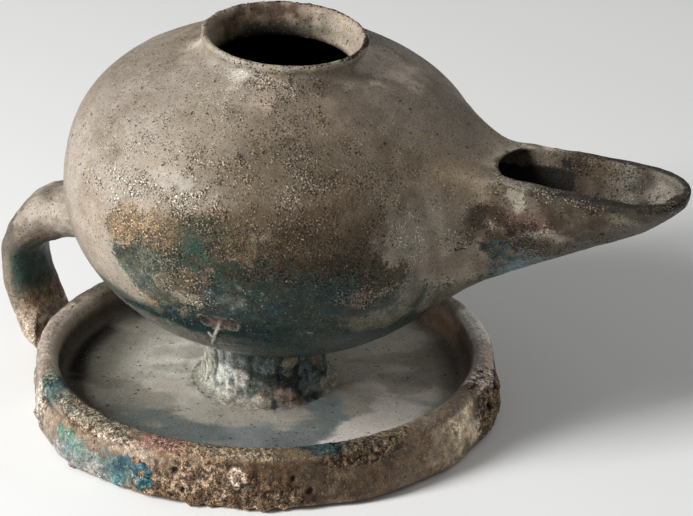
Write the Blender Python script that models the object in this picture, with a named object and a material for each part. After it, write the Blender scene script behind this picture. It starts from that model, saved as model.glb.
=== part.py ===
"""A glazed pottery oil lamp: a round oil pot with a low collar, a long open spout and a strap handle,
standing on a short stem in a drip dish. Potted in one piece. Run it with
blender --background --python part.py, or from Blender's text editor.

Metres, +Z up, +X towards the spout. The origin is the centre of the flat underside. The pot, its
collar and its spout are drawn upright, then leant a little towards the spout together."""

import math

import bmesh
import bpy
from mathutils import Matrix, Vector
from mathutils.geometry import interpolate_bezier

MM = 0.001

# Drip dish and stem: the lower turned shape, on the upright axis.
DISH_RADIUS = 59.2 * MM
DISH_RIM_RADIUS = 58.0 * MM
DISH_HEIGHT = 14.6 * MM
DISH_WALL = 5.8 * MM
DISH_FLOOR_HEIGHT = 6.0 * MM
DISH_CORNER = 3.0 * MM
FOOT_CHAMFER = 1.2 * MM
STEM_RADIUS = 15.1 * MM
STEM_WAIST_HEIGHT = 15.0 * MM
STEM_FOOT_RADIUS = 17.6 * MM
STEM_TOP_RADIUS = 18.0 * MM
STEM_TOP_HEIGHT = 24.0 * MM

# Lumps of crust on the dish's outer wall: (degrees from +X, height, reach, how far proud).
CRUST_LUMPS = [
    (8, 8.0 * MM, 9.0 * MM, 1.8 * MM),
    (-18, 5.0 * MM, 9.0 * MM, 1.4 * MM),
    (-40, 4.0 * MM, 11.0 * MM, 1.9 * MM),
    (-68, 6.0 * MM, 10.0 * MM, 1.5 * MM),
    (-96, 4.0 * MM, 12.0 * MM, 1.6 * MM),
    (-118, 3.0 * MM, 10.0 * MM, 2.3 * MM),
    (-150, 1.0 * MM, 9.5 * MM, -1.3 * MM),
    (-168, 1.0 * MM, 9.5 * MM, -1.2 * MM),
    (130, 6.0 * MM, 12.0 * MM, 1.1 * MM),
    (96, 5.0 * MM, 13.0 * MM, 1.3 * MM),
]

# Oil pot: two half superellipses turned about an axis that leans towards the spout.
POT_LEAN = math.radians(3.0)
POT_RADIUS = 52.9 * MM
POT_MIDDLE = 60.5 * MM
POT_UPPER_HEIGHT = 37.0 * MM
POT_LOWER_HEIGHT = 39.2 * MM
POT_UPPER_POWER = 2.36
POT_LOWER_POWER = 2.05
POT_WALL = 4.5 * MM
POT_BASE_WALL = 5.5 * MM

# Collar round the filling hole, on the pot's axis.
COLLAR_START_RADIUS = 24.0 * MM
COLLAR_WAIST_RADIUS = 20.1 * MM
COLLAR_LIP_RADIUS = 20.7 * MM
COLLAR_TOP = 101.0 * MM
COLLAR_LIP_WIDTH = 1.7 * MM
THROAT_RADIUS = 16.8 * MM
THROAT_HEIGHT = 94.0 * MM

# Spout: a trough whose rim runs nearly level while its keel climbs to the tip.
SPOUT_START_X = 58.0 * MM
SPOUT_TIP_X = 105.4 * MM
SPOUT_RIM_HEIGHT = 80.4 * MM
SPOUT_RIM_RISE = 0.026
SPOUT_HALF_WIDTH = 13.2 * MM
SPOUT_START_HALF_WIDTH = 12.4 * MM
SPOUT_KEEL_START = 48.6 * MM
SPOUT_KEEL_TIP = 76.0 * MM
SPOUT_NOSE = 13.0 * MM
SPOUT_ROOT_HALF_WIDTH = 29.0 * MM
SPOUT_ROOT_TOP = 95.0 * MM
SPOUT_ROOT_BASE = 33.0 * MM
SPOUT_CROWN = 0.7 * MM
SPOUT_WALL = 3.2 * MM
SPOUT_TIP_WALL = 2.2 * MM
SPOUT_FLOOR = 4.2 * MM

# Wick channel inside the spout: a hole through the pot's wall that opens into the trough.
CHANNEL_START_X = 36.0 * MM
CHANNEL_HOLE_END_X = 52.0 * MM
CHANNEL_OPEN_X = 65.5 * MM

# Handle: a strap in the plane of the spout, from the pot's flank to the dish's wall.
HANDLE_PATH = [(-57.2, 41.9), (-61.4, 39.3), (-64.8, 35.5), (-66.8, 31.4), (-67.0, 27.0), (-66.0, 22.0),
               (-64.0, 16.8), (-62.2, 12.2), (-60.8, 8.8), (-58.2, 6.0), (-55.2, 5.0)]
HANDLE_HALF_THICKNESS = 4.5 * MM
HANDLE_START_HALF_THICKNESS = 7.2 * MM
HANDLE_FOOT_HALF_THICKNESS = 3.2 * MM
HANDLE_HALF_WIDTH = 9.8 * MM
HANDLE_ROOT_HALF_WIDTH = 16.5 * MM
HANDLE_ROOT_TOP = 54.5 * MM
HANDLE_ROOT_BASE = 30.5 * MM

POT_SEGMENTS = 56
CAVITY_SEGMENTS = 32
SPOUT_SEGMENTS = 24
HANDLE_SEGMENTS = 18
ROOT_STEPS = 7


def clear_scene():
    for obj in list(bpy.data.objects):
        bpy.data.objects.remove(obj, do_unlink=True)


def smooth_step(value, start, end):
    t = min(1.0, max(0.0, (value - start) / (end - start)))
    return t * t * (3 - 2 * t)


def mix(a, b, t):
    return a + (b - a) * t


def arc(centre_r, centre_z, radius_r, radius_z, start, end, steps):
    """Points (r, z) along an elliptical arc, its angles in degrees from +r towards +z."""
    angles = [math.radians(start + (end - start) * i / steps) for i in range(steps + 1)]
    return [(centre_r + radius_r * math.cos(a), centre_z + radius_z * math.sin(a)) for a in angles]


def new_object(name, bm):
    bmesh.ops.remove_doubles(bm, verts=bm.verts, dist=1e-6)
    bmesh.ops.recalc_face_normals(bm, faces=bm.faces)
    mesh = bpy.data.meshes.new(name)
    bm.to_mesh(mesh)
    bm.free()
    mesh.shade_smooth()
    mesh.set_sharp_from_angle(angle=math.radians(40))
    obj = bpy.data.objects.new(name, mesh)
    bpy.context.scene.collection.objects.link(obj)
    return obj


def turned(name, profile, segments):
    """A closed solid made by turning a profile of (r, z) points, from axis to axis, about +Z."""
    bm = bmesh.new()
    verts = [bm.verts.new((r, 0, z)) for r, z in profile]
    edges = [bm.edges.new(pair) for pair in zip(verts, verts[1:])]
    bmesh.ops.spin(bm, geom=verts + edges, cent=(0, 0, 0), axis=(0, 0, 1),
                   angle=math.tau, steps=segments, use_merge=True)
    return new_object(name, bm)


def lofted(name, rings):
    """A closed solid through rings of equally many points, capped at both ends."""
    bm = bmesh.new()
    loops = [[bm.verts.new(point) for point in ring] for ring in rings]
    for near, far in zip(loops, loops[1:]):
        for i in range(len(near)):
            j = (i + 1) % len(near)
            bm.faces.new((near[i], near[j], far[j], far[i]))
    bm.faces.new(loops[0])
    bm.faces.new(reversed(loops[-1]))
    return new_object(name, bm)


def boolean(target, other, operation):
    """Adds a Boolean to target; the other shape becomes a guide that isn't rendered."""
    modifier = target.modifiers.new(f"{operation.lower()} {other.name}", "BOOLEAN")
    modifier.operation = operation
    modifier.object = other
    other.hide_render = True
    other.display_type = "WIRE"


# --- Dish and stem ---

def dish_profile():
    rim_middle = DISH_RIM_RADIUS - DISH_WALL / 2
    inner_radius = DISH_RIM_RADIUS - DISH_WALL
    rim_round = 2.6 * MM
    foot = [(0, 0), (DISH_RADIUS - FOOT_CHAMFER, 0), (DISH_RADIUS, FOOT_CHAMFER)]
    wall = [(DISH_RADIUS + 0.1 * MM, DISH_HEIGHT * 0.3), (DISH_RADIUS - 0.5 * MM, DISH_HEIGHT * 0.55)]
    rim = arc(rim_middle, DISH_HEIGHT - rim_round, DISH_WALL / 2, rim_round, 0, 180, 7)
    corner = arc(inner_radius - DISH_CORNER, DISH_FLOOR_HEIGHT + DISH_CORNER,
                 DISH_CORNER, DISH_CORNER, 0, -90, 3)
    lower = arc(STEM_FOOT_RADIUS, STEM_WAIST_HEIGHT, STEM_FOOT_RADIUS - STEM_RADIUS,
                STEM_WAIST_HEIGHT - DISH_FLOOR_HEIGHT, 270, 180, 4)
    upper = arc(STEM_TOP_RADIUS, STEM_WAIST_HEIGHT, STEM_TOP_RADIUS - STEM_RADIUS,
                STEM_TOP_HEIGHT - STEM_WAIST_HEIGHT, 180, 90, 3)
    return foot + wall + rim + corner + lower + upper[1:] + [(0, STEM_TOP_HEIGHT)]


def crust_height(point):
    """How far the crust stands out from the dish's wall at a point."""
    height = 0.0
    for degrees, level, reach, proud in CRUST_LUMPS:
        angle = math.radians(degrees)
        middle = Vector((DISH_RADIUS * math.cos(angle), DISH_RADIUS * math.sin(angle), level))
        height += proud * math.exp(-((point - middle).length / reach) ** 2)
    return height


def build_dish():
    dish = turned("oil_lamp", dish_profile(), POT_SEGMENTS)
    for vertex in dish.data.vertices:
        point = vertex.co
        radius = math.hypot(point.x, point.y)
        if radius > DISH_RIM_RADIUS - DISH_WALL / 2 and point.z > 0:
            share = min(1.0, point.z / FOOT_CHAMFER)
            scale = 1 + share * crust_height(point) / radius
            point.x *= scale
            point.y *= scale
    return dish


# --- Oil pot, upright in its own axes ---

def pot_radius(height, radius=POT_RADIUS, inset=0.0, base_inset=0.0):
    """Radius of the pot's section at a height, for the outside or for a skin inset from it."""
    rise = height - POT_MIDDLE
    power = POT_UPPER_POWER if rise > 0 else POT_LOWER_POWER
    reach = POT_UPPER_HEIGHT - inset if rise > 0 else POT_LOWER_HEIGHT - base_inset
    share = min(1.0, abs(rise) / reach)
    return (radius - inset) * (1 - share ** power) ** (1 / power)


def pot_section(inset, base_inset, steps, stop_radius):
    """The pot's profile (r, z) from its base up to where it has drawn in to stop_radius."""
    points = [(0, POT_MIDDLE - POT_LOWER_HEIGHT + base_inset)]
    for i in range(1, steps):
        turn = math.radians(-90 + 180 * i / steps)
        reach = POT_UPPER_HEIGHT - inset if turn > 0 else POT_LOWER_HEIGHT - base_inset
        height = POT_MIDDLE + reach * math.sin(turn)
        radius = pot_radius(height, POT_RADIUS, inset, base_inset)
        if turn < 0 or radius > stop_radius:
            points.append((radius, height))
    return points


def pot_profile():
    section = pot_section(0.0, 0.0, 26, COLLAR_START_RADIUS)
    waist = COLLAR_TOP - 3.2 * MM
    neck = [(COLLAR_WAIST_RADIUS + 2.2 * MM, COLLAR_TOP - 5.4 * MM),
            (COLLAR_WAIST_RADIUS + 0.8 * MM, COLLAR_TOP - 4.4 * MM),
            (COLLAR_WAIST_RADIUS + 0.1 * MM, waist), (COLLAR_WAIST_RADIUS, waist + 1.3 * MM)]
    lip = arc(COLLAR_LIP_RADIUS - COLLAR_LIP_WIDTH / 2, COLLAR_TOP - 0.9 * MM,
              COLLAR_LIP_WIDTH / 2, 0.9 * MM, -20, 90, 3)
    return section + neck + lip + [(0, COLLAR_TOP)]


def cavity_profile():
    section = pot_section(POT_WALL, POT_BASE_WALL, 18, THROAT_RADIUS + 3 * MM)
    lip_inside = COLLAR_LIP_RADIUS - COLLAR_LIP_WIDTH
    above = COLLAR_TOP + 3 * MM
    throat = [(THROAT_RADIUS, THROAT_HEIGHT - 1 * MM), (THROAT_RADIUS, THROAT_HEIGHT),
              (THROAT_RADIUS + 0.9 * MM, THROAT_HEIGHT + 3.5 * MM),
              (lip_inside - 0.4 * MM, COLLAR_TOP - 1.0 * MM), (lip_inside + 0.7 * MM, COLLAR_TOP),
              (lip_inside + 0.7 * MM, above), (0, above)]
    return section + throat


def pot_skin(y, z, side):
    """Point of the pot's outside at y and z, on its +X side (1) or its -X side (-1)."""
    return Vector((side * math.sqrt(pot_radius(z) ** 2 - y ** 2), y, z))


def root_rings(root_outline, end_ring, next_ring, side):
    """Rings that leave the pot's skin along its surface and run smoothly into end_ring.

    The first ring is sunk in the wall, so the root grows out of solid clay."""
    strands = []
    for (y, z), end, beyond in zip(root_outline, end_ring, next_ring):
        along = (beyond - end).normalized()
        start = pot_skin(y, z, side)
        toward = Vector((0, end.y - y, end.z - z)).normalized() * 0.1 * MM
        tangent = (pot_skin(y + toward.y, z + toward.z, side) - start).normalized()
        reach = (end - start).length
        start.x -= side * 0.2 * MM
        buried = start - Vector((side * 5 * MM, 0.3 * toward.y, 0.3 * toward.z))
        strands.append([buried] + interpolate_bezier(start, start + tangent * reach * 0.5,
                                                     end - along * reach * 0.2, end, ROOT_STEPS))
    return [list(ring) for ring in zip(*strands)]


# --- Spout ---

def boat_ring(x, half_width, rim, crown, depth):
    """A section across the spout: a half ellipse below the rim and a low crown above it."""
    ring = []
    for i in range(SPOUT_SEGMENTS):
        a = math.tau * i / SPOUT_SEGMENTS
        rise = crown if math.sin(a) > 0 else depth
        ring.append(Vector((x, half_width * math.cos(a), rim + rise * math.sin(a))))
    return ring


def spout_station(x):
    """Rim height, depth and half width of the spout's outside at x, before its nose."""
    along = max(0.0, (x - SPOUT_START_X) / (SPOUT_TIP_X - SPOUT_START_X))
    rim = SPOUT_RIM_HEIGHT + SPOUT_RIM_RISE * (x - SPOUT_START_X)
    depth = rim - mix(SPOUT_KEEL_START, SPOUT_KEEL_TIP, along)
    widening = smooth_step(along, 0.0, 0.5)
    return rim, depth, mix(SPOUT_START_HALF_WIDTH, SPOUT_HALF_WIDTH, widening)


def nose_share(x, tip, nose):
    """1 behind the nose, falling along a quarter circle to 0 at the tip."""
    turn = max(0.0, (x - (tip - nose)) / nose)
    return math.sqrt(max(0.0, 1 - turn ** 2))


def stations(start, tip, nose, steps, nose_steps):
    """Even steps up to the nose, then steps that close up as the nose turns in."""
    nose_start = tip - nose
    even = [mix(start, nose_start, i / steps) for i in range(steps)]
    turns = [math.pi / 2 * i / nose_steps for i in range(nose_steps)]
    return even + [nose_start + nose * math.sin(turn) for turn in turns]


def build_spout():
    rings = []
    for x in stations(SPOUT_START_X, SPOUT_TIP_X, SPOUT_NOSE, 5, 9):
        rim, depth, half_width = spout_station(x)
        share = nose_share(x, SPOUT_TIP_X, SPOUT_NOSE)
        rings.append(boat_ring(x, half_width * share, rim, SPOUT_CROWN * share,
                               depth * mix(0.3, 1.0, share)))
    outline = []
    for point in boat_ring(0, SPOUT_ROOT_HALF_WIDTH, SPOUT_RIM_HEIGHT,
                           SPOUT_ROOT_TOP - SPOUT_RIM_HEIGHT, SPOUT_RIM_HEIGHT - SPOUT_ROOT_BASE):
        outline.append((point.y, point.z))
    root = root_rings(outline, rings[0], rings[1], 1)
    return lofted("spout outside", root + rings[1:])


def build_channel():
    """The wick channel: closed over where it passes through the pot's wall, open beyond."""
    rings = []
    tip = SPOUT_TIP_X - SPOUT_TIP_WALL
    nose = SPOUT_NOSE - SPOUT_TIP_WALL / 2
    for x in stations(CHANNEL_START_X, tip, nose, 11, 7):
        rim, depth, half_width = spout_station(x)
        opened = smooth_step(x, CHANNEL_HOLE_END_X, CHANNEL_OPEN_X)
        share = nose_share(x, tip, nose)
        middle = rim - mix(9 * MM, 0.0, opened)
        roof = rim + mix(-3.5 * MM, 5 * MM, opened)
        floor = rim - mix(0.15, 1.0, share) * (depth - SPOUT_FLOOR)
        rings.append(boat_ring(x, (half_width - SPOUT_WALL) * share, middle,
                               roof - middle, middle - floor))
    return lofted("wick channel", rings)


# --- Handle ---

def build_handle(lean):
    """The strap runs from a root on the leaning pot down to the dish's wall."""
    path = [Vector((x, 0, z)) * MM for x, z in HANDLE_PATH]
    last = len(path) - 1
    rings = []
    for n, centre in enumerate(path):
        along = (path[min(n + 1, last)] - path[max(n - 1, 0)]).normalized()
        outward = Vector((0, 1, 0)).cross(along)
        half_thickness = mix(HANDLE_START_HALF_THICKNESS, HANDLE_HALF_THICKNESS, smooth_step(n, 0, 3))
        half_thickness = mix(half_thickness, HANDLE_FOOT_HALF_THICKNESS, smooth_step(n, last - 3, last))
        ring = []
        for i in range(HANDLE_SEGMENTS):
            a = math.tau * i / HANDLE_SEGMENTS
            across = HANDLE_HALF_WIDTH * math.copysign(abs(math.cos(a)) ** 0.8, math.cos(a))
            ring.append(centre + outward * (half_thickness * math.sin(a)) + Vector((0, across, 0)))
        rings.append(ring)
    upright = lean.inverted()
    first, second = [[upright @ point for point in ring] for ring in rings[:2]]
    middle = (HANDLE_ROOT_TOP + HANDLE_ROOT_BASE) / 2
    half_height = (HANDLE_ROOT_TOP - HANDLE_ROOT_BASE) / 2
    outline = []
    for i in range(HANDLE_SEGMENTS):
        a = math.tau * i / HANDLE_SEGMENTS
        outline.append((HANDLE_ROOT_HALF_WIDTH * math.cos(a), middle + half_height * math.sin(a)))
    root = [[lean @ point for point in ring] for ring in root_rings(outline, first, second, -1)]
    return lofted("handle strap", root + rings[1:])


# --- Finish ---

def weathered_glaze():
    material = bpy.data.materials.new("weathered_glaze")
    material.use_nodes = True
    shader = material.node_tree.nodes["Principled BSDF"]
    shader.inputs["Base Color"].default_value = (0.27, 0.21, 0.15, 1)
    shader.inputs["Roughness"].default_value = 0.55
    shader.inputs["Metallic"].default_value = 0.0
    return material


def build_lamp():
    lean = Matrix.Rotation(POT_LEAN, 4, "Y")
    lamp = build_dish()
    pot = turned("pot outside", pot_profile(), POT_SEGMENTS)
    spout = build_spout()
    cavity = turned("pot inside", cavity_profile(), CAVITY_SEGMENTS)
    channel = build_channel()
    for leaning in (pot, spout, cavity, channel):
        leaning.data.transform(lean)
    boolean(lamp, pot, "UNION")
    boolean(lamp, spout, "UNION")
    boolean(lamp, build_handle(lean), "UNION")
    boolean(lamp, cavity, "DIFFERENCE")
    boolean(lamp, channel, "DIFFERENCE")
    lamp.data.materials.append(weathered_glaze())


def main():
    clear_scene()
    build_lamp()


main()
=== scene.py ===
import math
from functools import partial, partialmethod
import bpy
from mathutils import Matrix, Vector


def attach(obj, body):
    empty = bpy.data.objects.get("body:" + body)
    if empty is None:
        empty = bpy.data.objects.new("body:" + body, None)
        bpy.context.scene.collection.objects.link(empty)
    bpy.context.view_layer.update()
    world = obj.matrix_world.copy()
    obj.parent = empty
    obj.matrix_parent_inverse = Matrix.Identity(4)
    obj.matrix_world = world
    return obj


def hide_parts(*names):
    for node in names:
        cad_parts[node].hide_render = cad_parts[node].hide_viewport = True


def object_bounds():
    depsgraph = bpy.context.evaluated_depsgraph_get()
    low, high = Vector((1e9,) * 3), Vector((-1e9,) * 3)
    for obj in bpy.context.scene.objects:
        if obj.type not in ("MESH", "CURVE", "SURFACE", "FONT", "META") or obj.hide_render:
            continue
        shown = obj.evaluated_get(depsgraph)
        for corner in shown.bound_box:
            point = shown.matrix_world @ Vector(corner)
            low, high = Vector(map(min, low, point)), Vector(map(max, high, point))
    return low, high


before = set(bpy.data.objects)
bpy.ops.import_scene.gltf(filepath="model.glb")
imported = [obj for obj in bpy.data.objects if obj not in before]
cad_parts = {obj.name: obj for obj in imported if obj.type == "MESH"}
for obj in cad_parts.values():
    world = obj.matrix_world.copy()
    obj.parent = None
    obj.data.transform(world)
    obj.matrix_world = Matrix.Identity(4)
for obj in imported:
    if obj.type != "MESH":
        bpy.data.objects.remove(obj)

from types import SimpleNamespace

import bpy
import numpy as np
from mathutils import Matrix, Vector

MM = 0.001
NODE = "oil_lamp"
CAD_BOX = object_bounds()

# ---- mesh density, and the relief that is finer than the mesh ----
VOXEL = 0.46 * MM
TRIANGLES = 194000
BUMP = 0.17 * MM

# ---- the lamp's own measures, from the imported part, in millimetres ----
LEAN = math.radians(3.0)
POT_RADIUS, POT_MIDDLE, POT_UPPER, POT_LOWER = 52.9, 60.5, 37.0, 39.2
UPPER_POWER, LOWER_POWER = 2.36, 2.05
LIP_TOP, LIP_RADIUS = 101.0, 20.7
# radius at which degrees are turned into mm, round the pot, the dish and the dish's outer wall
POT_ARC, DISH_ARC, WALL_ARC = 50.0, 58.0, 59.0
RIGHT_X, RIGHT_Y = 0.927, 0.375  # the way to the right, as the camera sees it

# Upper edge of the dark glaze round the pot: degrees round, height in mm
GLAZE_EDGE = (
    (-180, 52), (-165, 42), (-150, 38), (-133, 38), (-124, 44), (-118.5, 60), (-112, 62.5), (-98, 63.5), (-88, 65),
    (-78, 64.5), (-66, 64), (-52, 62.5), (-42, 62), (-36, 62), (-31, 60.5), (-26, 55), (-18, 51), (-8, 50),
    (10, 52), (35, 58), (60, 62), (90, 60), (120, 63), (150, 58), (180, 52))
# Left end of the glaze as the camera sees it: height in mm, degrees round
GLAZE_LEFT = (
    (30, -135), (36, -132), (41, -126), (44, -108), (46, -103), (50, -107), (56, -115), (62, -120.5), (70, -123))
# Middle of the rusty band above it: degrees round, height, half width in mm
RUST_BAND = (
    (-180, 61, 2.5), (-150, 60, 1.5), (-128, 62, 0.6), (-119, 65, 1.2), (-113, 66.5, 3.8), (-98, 68, 4.6),
    (-86, 69.5, 4.6), (-72, 68.5, 4.2), (-58, 67, 4.4), (-45, 65, 4.6), (-39, 63.5, 4.2), (-36, 61, 0.8),
    (-20, 58, 0.6), (20, 60, 2.2), (60, 66, 3.5), (100, 66, 3.5), (140, 64, 3.0), (180, 61, 2.5))


# ---------------------------------------------------------------- numbers
def ramp(value, low, high):
    """0 at low and 1 at high, which may be the smaller, with an eased rise between them."""
    t = np.clip((value - low) / (high - low), 0.0, 1.0)
    return t * t * (3 - 2 * t)


def within(value, middle, outer, inner):
    """1 nearer to the middle than inner, 0 farther off than outer."""
    return ramp(np.abs(value - middle), outer, inner)


def around(degrees, middle, outer, inner):
    """The same for degrees round the lamp."""
    return ramp(np.abs(wrapped(degrees - middle)), outer, inner)


def oval(du, dv, half_wide, half_high):
    """1 in the middle of an oval, 0 on its edge, less than 0 outside."""
    return 1 - np.hypot(du / half_wide, dv / half_high)


def raise_to(field, *amounts):
    """Raises the field to each of the amounts wherever that is higher."""
    for amount in amounts:
        np.maximum(field, amount, out=field)


def hashed(i, j, k, seed):
    """A fixed pseudo-random number from 0 to 1 for each whole-number cell."""
    h = (i * 374761393 + j * 668265263 + k * 1442695041 + seed * 974711) & 0xFFFFFFFF
    h = ((h ^ (h >> 13)) * 1274126177) & 0xFFFFFFFF
    h = ((h ^ (h >> 16)) * 668265263) & 0xFFFFFFFF
    return ((h ^ (h >> 15)) & 0xFFFFFF) / float(0xFFFFFF)


TURN = np.array(Matrix.Rotation(0.7, 3, Vector((0.3, 0.5, 0.8)).normalized()))


def value_noise(p, seed):
    """Smooth noise from -1 to 1 with one cell per unit."""
    base = np.floor(p)
    f = p - base
    f = f * f * f * (f * (f * 6 - 15) + 10)
    c = base.astype(np.int64)
    total = np.zeros(len(p))
    for dx in (0, 1):
        wx = f[:, 0] if dx else 1 - f[:, 0]
        for dy in (0, 1):
            wy = wx * (f[:, 1] if dy else 1 - f[:, 1])
            for dz in (0, 1):
                w = wy * (f[:, 2] if dz else 1 - f[:, 2])
                total += w * hashed(c[:, 0] + dx, c[:, 1] + dy, c[:, 2] + dz, seed)
    return total * 2 - 1


def layered(p, cell, seed, octaves, gain, shift, finer, shape):
    """Noise in several octaves, each finer and weaker than the one before."""
    q = p / cell
    total, size, reach = np.zeros(len(p)), 1.0, 0.0
    for octave in range(octaves):
        total += size * shape(value_noise(q + shift * octave, seed + octave))
        reach += size
        size *= gain
        q = (q @ TURN.T) * finer
    return total / reach


def fractal(p, cell, seed, octaves):
    """Soft noise from about -1 to 1; cell is the largest feature in mm."""
    return layered(p, cell, seed, octaves, 0.55, 17.3, 2.03, np.asarray) * 1.6


def craggy(p, cell, seed, octaves):
    """Swellings parted by sharp creases, from 0 in a crease to about 1."""
    return np.clip(layered(p, cell, seed, octaves, 0.6, 11.7, 2.0, np.abs) * 2.2, 0, 1.3)


def lumps(p, cell, seed):
    """Rounded grains packed side by side: 1 on top of a grain and 0 between grains."""
    q = p / cell
    base = np.floor(q).astype(np.int64)
    nearest = np.full(len(p), 9.0)
    for dx in (-1, 0, 1):
        for dy in (-1, 0, 1):
            for dz in (-1, 0, 1):
                i, j, k = base[:, 0] + dx, base[:, 1] + dy, base[:, 2] + dz
                spot = np.stack([i + hashed(i, j, k, seed), j + hashed(i, j, k, seed + 1),
                                 k + hashed(i, j, k, seed + 2)], 1)
                nearest = np.minimum(nearest, ((q - spot) ** 2).sum(1))
    return np.clip(1 - nearest * 1.5, 0, 1)


def wrapped(degrees):
    return (degrees + 180.0) % 360.0 - 180.0


def along(table, place, column):
    """A column of the table, read off between its rows at each place."""
    return np.interp(place, [row[0] for row in table], [row[column] for row in table])


# ---------------------------------------------------------------- the mesh
def copied_mesh():
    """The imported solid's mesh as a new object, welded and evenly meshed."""
    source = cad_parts[NODE]
    mesh = source.data.copy()
    mesh.materials.clear()
    piece = added("glazed_lamp", mesh)
    weld = piece.modifiers.new("Weld", "WELD")
    weld.merge_threshold = 0.01 * MM
    remesh = piece.modifiers.new("Remesh", "REMESH")
    remesh.mode = "VOXEL"
    remesh.voxel_size = VOXEL
    return bake_modifiers(piece)


def bake_modifiers(piece):
    graph = bpy.context.evaluated_depsgraph_get()
    made = bpy.data.meshes.new_from_object(piece.evaluated_get(graph))
    old = piece.data
    piece.modifiers.clear()
    piece.data = made
    bpy.data.meshes.remove(old)
    return piece


def read(items, name):
    values = np.zeros(len(items) * 3, np.float32)
    items.foreach_get(name, values)
    return values.reshape(-1, 3).astype(float)


def added(name, data):
    """A new object in the scene."""
    made = bpy.data.objects.new(name, data)
    bpy.context.scene.collection.objects.link(made)
    return made


def points_of(mesh):
    return read(mesh.vertices, "co")


def normals_of(mesh):
    return read(mesh.vertex_normals, "vector")


def triangles_of(mesh):
    return sum(len(f.vertices) - 2 for f in mesh.polygons)


def set_points(mesh, co):
    mesh.vertices.foreach_set("co", co.astype(np.float32).ravel())
    mesh.update()


def weighed(piece, weights, steps):
    """The name of a new vertex group that has these weights, from 0 to 1 in steps."""
    group = piece.vertex_groups.new(name="weights")
    levels = np.clip(np.round(weights * steps).astype(int), 0, steps)
    for level in range(1, steps + 1):
        chosen = np.nonzero(levels == level)[0]
        if len(chosen):
            group.add(chosen.tolist(), level / steps, "REPLACE")
    return group.name


def eased(piece, weights, rounds):
    """Relaxes the surface where weights say so."""
    modifier = piece.modifiers.new("Ease", "SMOOTH")
    modifier.factor = 0.5
    modifier.iterations = rounds
    modifier.vertex_group = weighed(piece, weights, 10)
    bake_modifiers(piece)
    piece.vertex_groups.clear()


# ---------------------------------------------------------------- places on the lamp
def pot_radius_at(z):
    up = np.clip((z - POT_MIDDLE) / POT_UPPER, 0, 1)
    down = np.clip((POT_MIDDLE - z) / POT_LOWER, 0, 1)
    over = (1 - up ** UPPER_POWER) ** (1 / UPPER_POWER)
    under = (1 - down ** LOWER_POWER) ** (1 / LOWER_POWER)
    return POT_RADIUS * np.where(z > POT_MIDDLE, over, under)


def places(co, no):
    """Where each vertex is on the lamp, in millimetres and degrees, and how far it belongs to each part."""
    p = co / MM
    s = SimpleNamespace(p=p, n=no)
    s.x = p[:, 0] * math.cos(LEAN) - p[:, 2] * math.sin(LEAN)
    s.y = p[:, 1]
    s.z = p[:, 0] * math.sin(LEAN) + p[:, 2] * math.cos(LEAN)
    s.r = np.hypot(s.x, s.y)
    s.az = np.degrees(np.arctan2(s.y, s.x))
    s.dish_r = np.hypot(p[:, 0], p[:, 1])
    s.dish_az = np.degrees(np.arctan2(p[:, 1], p[:, 0]))
    s.h = p[:, 2]
    out = no[:, 0] * s.x + no[:, 1] * s.y
    skin = pot_radius_at(s.z)
    nx = no[:, 0] * math.cos(LEAN) - no[:, 2] * math.sin(LEAN)
    nz = no[:, 0] * math.sin(LEAN) + no[:, 2] * math.cos(LEAN)
    deep = s.r < skin - 2.3
    hidden = deep & (s.z > 24.5) & (s.z < 92.0) & (s.r < 51)
    throat = (s.z >= 92.0) & (nx * s.x + no[:, 1] * s.y < 0) & (s.r < 20)
    s.inside = (hidden | throat).astype(float)
    s.handle = ((p[:, 0] < -45) & (np.abs(p[:, 1]) < 17) & (s.r > skin + 1.0) & (s.h > 14.8)
                   | (s.dish_r > 60.6) & (p[:, 0] < -45) & (np.abs(p[:, 1]) < 14)).astype(float)
    s.spout = ramp(s.x, 56.5, 60.5) * (s.h > 30)
    s.dish = ((s.h < 15.2) & (s.dish_r > 18.5) & (s.handle < 0.5)).astype(float)
    s.stem = ((s.dish_r <= 18.6) & (s.h < 25) & (s.h > 5.9)).astype(float)
    s.pot = ((s.z > 24) & (s.r > 15)).astype(float) * (1 - s.inside) * (1 - s.handle) * (s.h > 19)
    s.nz = nz
    s.outward = out / np.maximum(s.r, 1e-6)
    return s


def lip_distance(s):
    return np.hypot(s.r - LIP_RADIUS + 0.8, s.z - LIP_TOP)


def blob(s, azimuth, height, half_wide, half_high, frame_name="pot"):
    """1 at the middle of a patch on the pot or the dish wall, 0 at its edge, less than 0 outside; sizes in mm."""
    if frame_name == "pot":
        du, dv = np.radians(wrapped(s.az - azimuth)) * POT_ARC, s.z - height
    else:
        du, dv = np.radians(wrapped(s.dish_az - azimuth)) * DISH_ARC, s.h - height
    return oval(du, dv, half_wide, half_high)


def floor_blob(s, x, y, half_x, half_y, turn=0.0):
    """The same for a patch on the dish's floor."""
    c, n = math.cos(math.radians(turn)), math.sin(math.radians(turn))
    dx, dy = s.p[:, 0] - x, s.p[:, 1] - y
    return oval(dx * c + dy * n, dy * c - dx * n, half_x, half_y)


def runs_down(s, cell, seed, octaves):
    """Noise drawn out down the stem."""
    return fractal(np.stack([s.dish_az * 0.27, s.h * 0.2, s.h * 0], 1), cell, seed, octaves)


def trued(piece):
    """Lays the pot's outer skin exactly on its turned profile, away from what joins it."""
    mesh = piece.data
    co = points_of(mesh)
    s = places(co, normals_of(mesh))
    want = pot_radius_at(s.z) - 0.08
    off = np.abs(s.r - want)
    amount = ramp(off, 0.9, 0.3) * (s.outward > 0.15) * ramp(s.z, 23, 27) * ramp(s.z, 91, 88)
    scale = 1 + (want / np.maximum(s.r, 1) - 1) * amount
    x, y = s.x * scale, s.y * scale
    co[:, 0] = (x * math.cos(LEAN) + s.z * math.sin(LEAN)) * MM
    co[:, 1] = y * MM
    co[:, 2] = (s.z * math.cos(LEAN) - x * math.sin(LEAN)) * MM
    set_points(mesh, co)


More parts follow.
